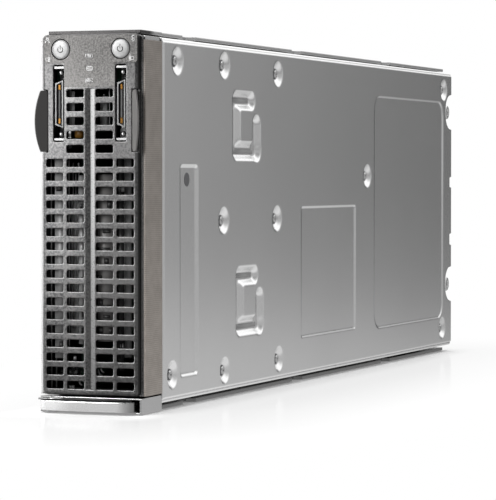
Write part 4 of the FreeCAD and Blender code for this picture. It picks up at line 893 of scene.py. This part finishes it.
def make_groove():
    """Right slope of the groove between the two halves of the bezel, painted bright as a
    highlight.
    """
    section = [
        (0.0, 0.98), (0.6, 0.78), (1.2, 0.55), (1.8, 0.30), (2.3, 0.08), (2.5, 0.0),
        (2.3, 0.2), (0.4, 1.22), (0.0, 1.45),
    ]
    points = [(x, FACE + depth, z) for z in (11.0, 154.0) for x, depth in section]
    piece("groove_slope", (points, capped(2, len(section))), "groove_painted_highlight", smooth=False)


# Lever: its front and where that ends, its back, its bow, its tip, the radii of tip and hub
LEVER_FRONT = -254.35
LEVER_FRONT_END = 17.5
LEVER_BACK = -242.0
LEVER_BOW = 260
LEVER_TIP = (18.0, -247.0)
TIP_RADIUS = 6.0
HUB_RADIUS = 5.3
# Inset and height of the lever's sections
LEVER_LEVELS = (
    (0.25, 1.2), (0.1, 1.26), (0.0, 1.45), (0.0, 1.6),
    (0.0, 5.5), (0.0, 5.65), (0.1, 5.84), (0.25, 5.9),
)


def make_lever():
    """Bowed release lever with rounded ends, and a black block in the slot above it as painted
    shade.
    """
    front = np.linspace(PIVOT[0], LEVER_FRONT_END, 40)
    outline = [(x, LEVER_FRONT + x * x / LEVER_BOW) for x in front]
    outline += arc(*LEVER_TIP, TIP_RADIUS, -80, 0, 11)
    outline += [(LEVER_TIP[0] + TIP_RADIUS, LEVER_BACK), (PIVOT[0], LEVER_BACK)]
    outline += arc(*PIVOT, HUB_RADIUS, 95, 262, 23)
    count = len(outline)
    points = []
    for inset, z in LEVER_LEVELS:
        for i, (x, y) in enumerate(outline):
            before, after = outline[i - 1], outline[(i + 1) % count]
            ahead = Vector((after[0] - before[0], after[1] - before[1])).normalized()
            points.append((x - inset * ahead[1], y + inset * ahead[0], z))
    shape = (points, capped(len(LEVER_LEVELS), count))
    lever = piece("lever_formed", shape, "lever_painted_sheen", "lever")
    lever.data.set_sharp_from_angle(angle=math.radians(38))
    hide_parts("release_lever")
    shade = block((-13.0, -249.4, 5.97), (22.0, -249.0, 7.03), 0.1)
    piece("lever_slot_shade", shade, "black_plastic")
    end = block((-26.4, -249.7, 5.98), (-13.4, -249.2, 7.03), 0.1)
    piece("lever_slot_end", end, "lever_chrome")


def make_jacks():
    """Domed jack screws at both ends of the two ports."""
    rings = [
        (1.45, 0.0), (1.45, 3.5), (1.36, 4.0), (1.12, 4.45), (0.78, 4.72), (0.36, 4.87),
        (0.02, 4.9),
    ]
    shapes = [
        lathe(rings, 32, (x, JACK_BASE, z), "-y") for x in (-PORT_X, PORT_X) for z in JACK_Z
    ]
    jacks = piece("jack_screw_domes", merged(shapes), "jack_metal")
    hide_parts("jack_screws")


def make_hook_floors():
    """Darker slabs on the flat floors of the two arms of each pressed hook: painted shade in the
    pockets.
    """
    height = 2.8
    shapes = []
    for side, _ in SIDES:
        x = side * (HALF - HOOK_DEPTH)
        for start, low in HOOKS:
            for near, far, bottom in ((4.5, 27.0, 30.2), (4.5, 34.0, 4.0)):
                corners = [
                    (x - side * 0.3, PAN_FRONT + start + near, low + bottom),
                    (x + side * 0.05, PAN_FRONT + start + far, low + bottom + height),
                ]
                lower = [min(a, b) for a, b in zip(*corners)]
                upper = [max(a, b) for a, b in zip(*corners)]
                shapes.append(block(lower, upper, THIN_CHAMFER))
    piece("hook_floors", merged(shapes), "zinc_shaded")


# What shows through the slots of the grille: boxes between two corners
INNER_SHEETS = [
    ((-19.8, -244.7, 25.6), (-14.7, -244.1, 122.4)),
    ((-13.2, -244.7, 30.0), (-12.1, -244.1, 122.0)),
    ((-7.3, -244.7, 32.5), (-4.7, -244.1, 113.0)),
    ((12.3, -244.6, 28.0), (12.65, -243.0, 122.0)),
    ((-9.62, -243.4, 55.0), (-9.3, -242.6, 114.0)),
    ((-22.5, -243.6, 9.6), (-22.15, -242.4, 122.0)),
    ((7.95, -243.4, 136.5), (8.5, -242.8, 153.8)),
]
INNER_PLATES = [
    ((1.3, -244.7, 34.0), (10.3, -244.1, 113.4)),
    ((-11.0, -243.6, 40.0), (-10.5, -242.8, 119.0)),
]
INNER_GUIDES = [
    ((-12.6, -244.0, 136.0), (-9.7, -243.4, 153.0)),
    ((15.0, -241.4, 26.5), (18.6, -240.8, 122.0)),
    ((3.2, -243.2, 137.0), (7.0, -242.6, 150.5)),
    ((-8.9, -242.0, 40.0), (-8.2, -241.2, 119.0)),
    ((-20.9, -241.8, 10.0), (-20.3, -241.0, 122.0)),
]
INNER_CONNECTORS = [
    ((-12.8, -244.4, 10.9), (-10.0, -243.2, 12.7)),
    ((-10.5, -244.2, 24.6), (-9.0, -243.2, 26.8)),
    ((14.4, -244.3, 105.0), (16.2, -243.6, 108.2)),
    ((13.3, -244.3, 105.0), (13.7, -243.6, 108.2)),
    ((13.9, -244.2, 30.2), (14.3, -243.8, 33.0)),
    ((14.9, -244.2, 30.0), (15.6, -243.8, 33.4)),
    ((1.8, -243.3, 151.0), (2.5, -242.8, 151.9)),
    ((4.9, -243.3, 150.6), (5.7, -242.8, 151.5)),
]
INNER_SCREEN = ((10.6, -241.2, 20.0), (14.7, -240.8, 122.0))
BRACKET_EAR = ((14.4, -244.6, 128.9), (18.7, -244.1, 135.2))
RELAY = ((-9.9, -243.6, 130.8), (-5.8, -242.4, 135.4))
# Dark clips as corners in x and z, then the teeth of a comb
CLIPS = [
    ((-18.9, 105.4), (-16.0, 108.6)), ((-17.4, 30.4), (-15.4, 33.6)),
    ((-6.7, 97.2), (-5.2, 99.6)), ((-5.9, 61.5), (-4.9, 64.6)),
    ((-5.7, 45.5), (-4.9, 49.0)), ((-6.0, 37.5), (-5.1, 40.2)),
    ((7.6, 97.6), (9.8, 101.0)), ((2.0, 90.6), (2.8, 93.0)),
    ((5.4, 85.6), (9.4, 87.2)), ((2.0, 83.0), (9.6, 83.6)),
    ((2.2, 77.8), (9.2, 78.8)), ((6.0, 71.0), (8.4, 73.6)),
    ((2.2, 63.8), (4.8, 65.6)), ((3.4, 51.2), (5.2, 54.0)),
    ((4.6, 51.0), (9.6, 51.6)), ((5.4, 45.2), (9.0, 46.6)),
    ((2.8, 38.0), (5.4, 41.0)), ((8.6, 37.8), (9.8, 40.6)),
]
COMB = [((2.4 + 1.25 * i, 109.2), (3.1 + 1.25 * i, 110.6)) for i in range(6)]
CLIP_DEPTHS = (-245.25, -244.75)
# Place and size of the cable loops
LOOPS = ((2.2, 20.6, 3.4), (3.6, 21.4, 2.4), (-7.6, 14.6, 1.8))
LOOP_ANGLES = (0.0, 0.25, 0.5, 0.75, 1.0, 1.25, 1.5, 1.75)
LOOP_FRONT = -243.4


def make_inside():
    """Sheet metal, guides and parts that show through the slots of the grille."""
    front, back = CLIP_DEPTHS
    clips = [
        ((low[0], front, low[1]), (high[0], back, high[1])) for low, high in CLIPS + COMB
    ]
    loops = []
    for x, z, size in LOOPS:
        path = [
            (x + size * 0.5 * (1 - math.cos(t)), LOOP_FRONT + 0.5 * t,
             z - size * math.sin(t) * 0.9)
            for t in LOOP_ANGLES
        ]
        loops.append(tube(path, 0.42))
    dark = blocks(clips, THIN_CHAMFER) + blocks([INNER_SCREEN], 0.1)
    for name, shapes, material in (
            ("inner_sheets", blocks(INNER_SHEETS, THIN_CHAMFER), "inner_metal"),
            ("inner_plates", blocks(INNER_PLATES, THIN_CHAMFER), "inner_grey"),
            ("inner_guides", blocks(INNER_GUIDES, THIN_CHAMFER), "inner_dark"),
            ("inner_clips", dark, "black_plastic"),
            ("inner_connectors", blocks(INNER_CONNECTORS, 0.1) + loops, "bracket_plate"),
            ("bracket_ear", blocks([BRACKET_EAR], 0.15), "bracket_plate"),
            ("inner_relay", blocks([RELAY], 0.3), "amber_block")):
        piece(name, merged(shapes), material)


for pan_name, pan_side in (("right_pan", 1), ("left_pan", -1)):
    pan = make_pan(f"{pan_name}_formed", pan_side)
    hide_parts(pan_name)
make_buttons()
make_print()
make_screws()
make_marks()
make_lever()
make_jacks()
make_groove()
make_hook_floors()
make_inside()


def mix_shaders(tree, factor, first, second):
    """Mix of two shaders by a factor."""
    mix = add(tree, "ShaderNodeMixShader")
    tree.links.new(factor, mix.inputs["Fac"])
    tree.links.new(first, mix.inputs[1])
    tree.links.new(second, mix.inputs[2])
    return mix.outputs["Shader"]


def show(tree, kind, others, camera):
    """Show one shader to the camera and another to everything else."""
    output = add(tree, kind)
    path = add(tree, "ShaderNodeLightPath")
    chosen = mix_shaders(tree, path.outputs["Is Camera Ray"], others, camera)
    tree.links.new(chosen, output.inputs["Surface"])


def seen_floor(tree, coordinates, reach):
    """White floor with a gloss and a contact shadow that fade away from the blade."""
    white = add(tree, "ShaderNodeEmission", Strength=1.0).outputs["Emission"]
    gloss = add(tree, "ShaderNodeBsdfAnisotropic", Roughness=GLOSS_ROUGHNESS).outputs["BSDF"]
    sheen = mix_shaders(tree, spread(tree, reach, *SHEEN), white, gloss)
    paper = shades(tree, noise(tree, coordinates, PAPER_SCALE), grey(PAPER - 0.02), grey(PAPER))
    diffuse = add(tree, "ShaderNodeBsdfDiffuse")
    tree.links.new(paper, diffuse.inputs["Color"])
    contact = spread(tree, reach, *CONTACT)
    shadow = maths(tree, "MULTIPLY", contact, spread(tree, reach, *CONTACT_FADE))
    return mix_shaders(tree, shadow, sheen, diffuse.outputs["BSDF"])


def mirrored_floor(tree, place, away):
    """Floor as the blade mirrors it: dimmer far away, brighter to the right, with a left flare."""
    falling = maths(tree, "EXPONENT", maths(tree, "MULTIPLY", away, FLOOR_FALL))
    share = maths(tree, "MULTIPLY", falling, NEAR_FLOOR - FAR_FLOOR)
    level = maths(tree, "ADD", share, FAR_FLOOR)
    turned = maths(tree, "MULTIPLY", place["Y"], SLANT_TURN)
    across = maths(tree, "SUBTRACT", place["X"], turned)
    slant = maths(tree, "ADD", maths(tree, "MULTIPLY", across, FLOOR_SLANT), 1.0)
    slant = maths(tree, "MAXIMUM", slant, SLANT_LIMITS[0])
    slant = maths(tree, "MINIMUM", slant, SLANT_LIMITS[1])
    flare = spread(tree, place["X"], *LEFT_FLARE)
    strength = maths(tree, "MULTIPLY", maths(tree, "MULTIPLY", level, slant), flare)
    sheet = add(tree, "ShaderNodeEmission")
    tree.links.new(strength, sheet.inputs["Strength"])
    return sheet.outputs["Emission"]


def make_floor():
    """White floor with soft shadows; mirrored, it is a dimmer sheet."""
    mesh = bpy.data.meshes.new("studio_floor")
    work = bmesh.new()
    bmesh.ops.create_grid(work, x_segments=8, y_segments=8, size=FLOOR_SIZE)
    work.to_mesh(mesh)
    work.free()
    floor = bpy.data.objects.new("studio_floor", mesh)
    bpy.context.scene.collection.objects.link(floor)
    floor.location = (0, 0, -FLOOR_DROP)
    material, tree = new_material("floor_white")
    coordinates = object_place(tree)
    place = axes(tree, coordinates)
    aside = []
    for axis, half in FOOTPRINT:
        beyond = maths(tree, "SUBTRACT", maths(tree, "ABSOLUTE", place[axis]), half)
        outside = maths(tree, "MAXIMUM", beyond, 0.0)
        aside.append(maths(tree, "MULTIPLY", outside, outside))
    away = maths(tree, "SQRT", maths(tree, "ADD", *aside))
    behind = maths(tree, "MULTIPLY", aside[1], FOOT_STRETCH)
    reach = maths(tree, "SQRT", maths(tree, "ADD", aside[0], behind))
    seen = seen_floor(tree, coordinates, reach)
    show(tree, "ShaderNodeOutputMaterial", mirrored_floor(tree, place, away), seen)
    mesh.materials.append(material)


def make_world():
    """White to the camera; a dim room with a brighter ceiling to everything else."""
    world = bpy.data.worlds.new("studio")
    bpy.context.scene.world = world
    world.use_nodes = True
    tree = world.node_tree
    tree.nodes.clear()
    parts = axes(tree, add(tree, "ShaderNodeTexCoord").outputs["Generated"])
    side = ramp(tree, parts["X"], *SIDE_TURN, *SIDE_GLOW)
    high = ramp(tree, parts["Z"], *CEILING_TURN)
    behind = ramp(tree, parts["Y"], *BACK_TURN, FRONT_GLOW, BACK_GLOW)
    rise = maths(tree, "MULTIPLY", high, maths(tree, "SUBTRACT", behind, side))
    left = ramp(tree, parts["X"], *LEFT_TURN, 1.0, 0.0)
    left_back = maths(tree, "MULTIPLY", left, ramp(tree, parts["Y"], *FAR_BACK_TURN))
    glow = maths(tree, "MAXIMUM", maths(tree, "ADD", side, rise), left_back)
    room = add(tree, "ShaderNodeBackground", Color=(1, 1, 1, 1))
    tree.links.new(glow, room.inputs["Strength"])
    white = add(tree, "ShaderNodeBackground", Color=(1, 1, 1, 1), Strength=1.0)
    show(
        tree, "ShaderNodeOutputWorld", room.outputs["Background"], white.outputs["Background"])


def soft_light(name, place, target, width, height, power):
    """Soft box aimed at a point."""
    data = bpy.data.lights.new(name, "AREA")
    data.shape = "RECTANGLE"
    data.size = width
    data.size_y = height
    data.energy = power
    light = bpy.data.objects.new(name, data)
    bpy.context.scene.collection.objects.link(light)
    light.location = place
    aim = Vector(target) - Vector(place)
    light.rotation_euler = aim.to_track_quat("-Z", "Y").to_euler()


def make_camera():
    """Camera at the photograph's viewpoint."""
    data = bpy.data.cameras.new("camera")
    data.lens = CAMERA_LENS
    data.sensor_width = SENSOR_WIDTH
    data.clip_start = CLIP_NEAR
    data.clip_end = CLIP_FAR
    camera = bpy.data.objects.new("camera", data)
    bpy.context.scene.collection.objects.link(camera)
    camera.location = CAMERA_PLACE
    camera.rotation_euler = (math.radians(90 - CAMERA_PITCH), 0, math.radians(CAMERA_TURN))
    bpy.context.scene.camera = camera


make_floor()
make_world()
for light_row in LIGHTS:
    soft_light(*light_row)
make_camera()
bpy.context.scene.view_settings.view_transform = "Standard"
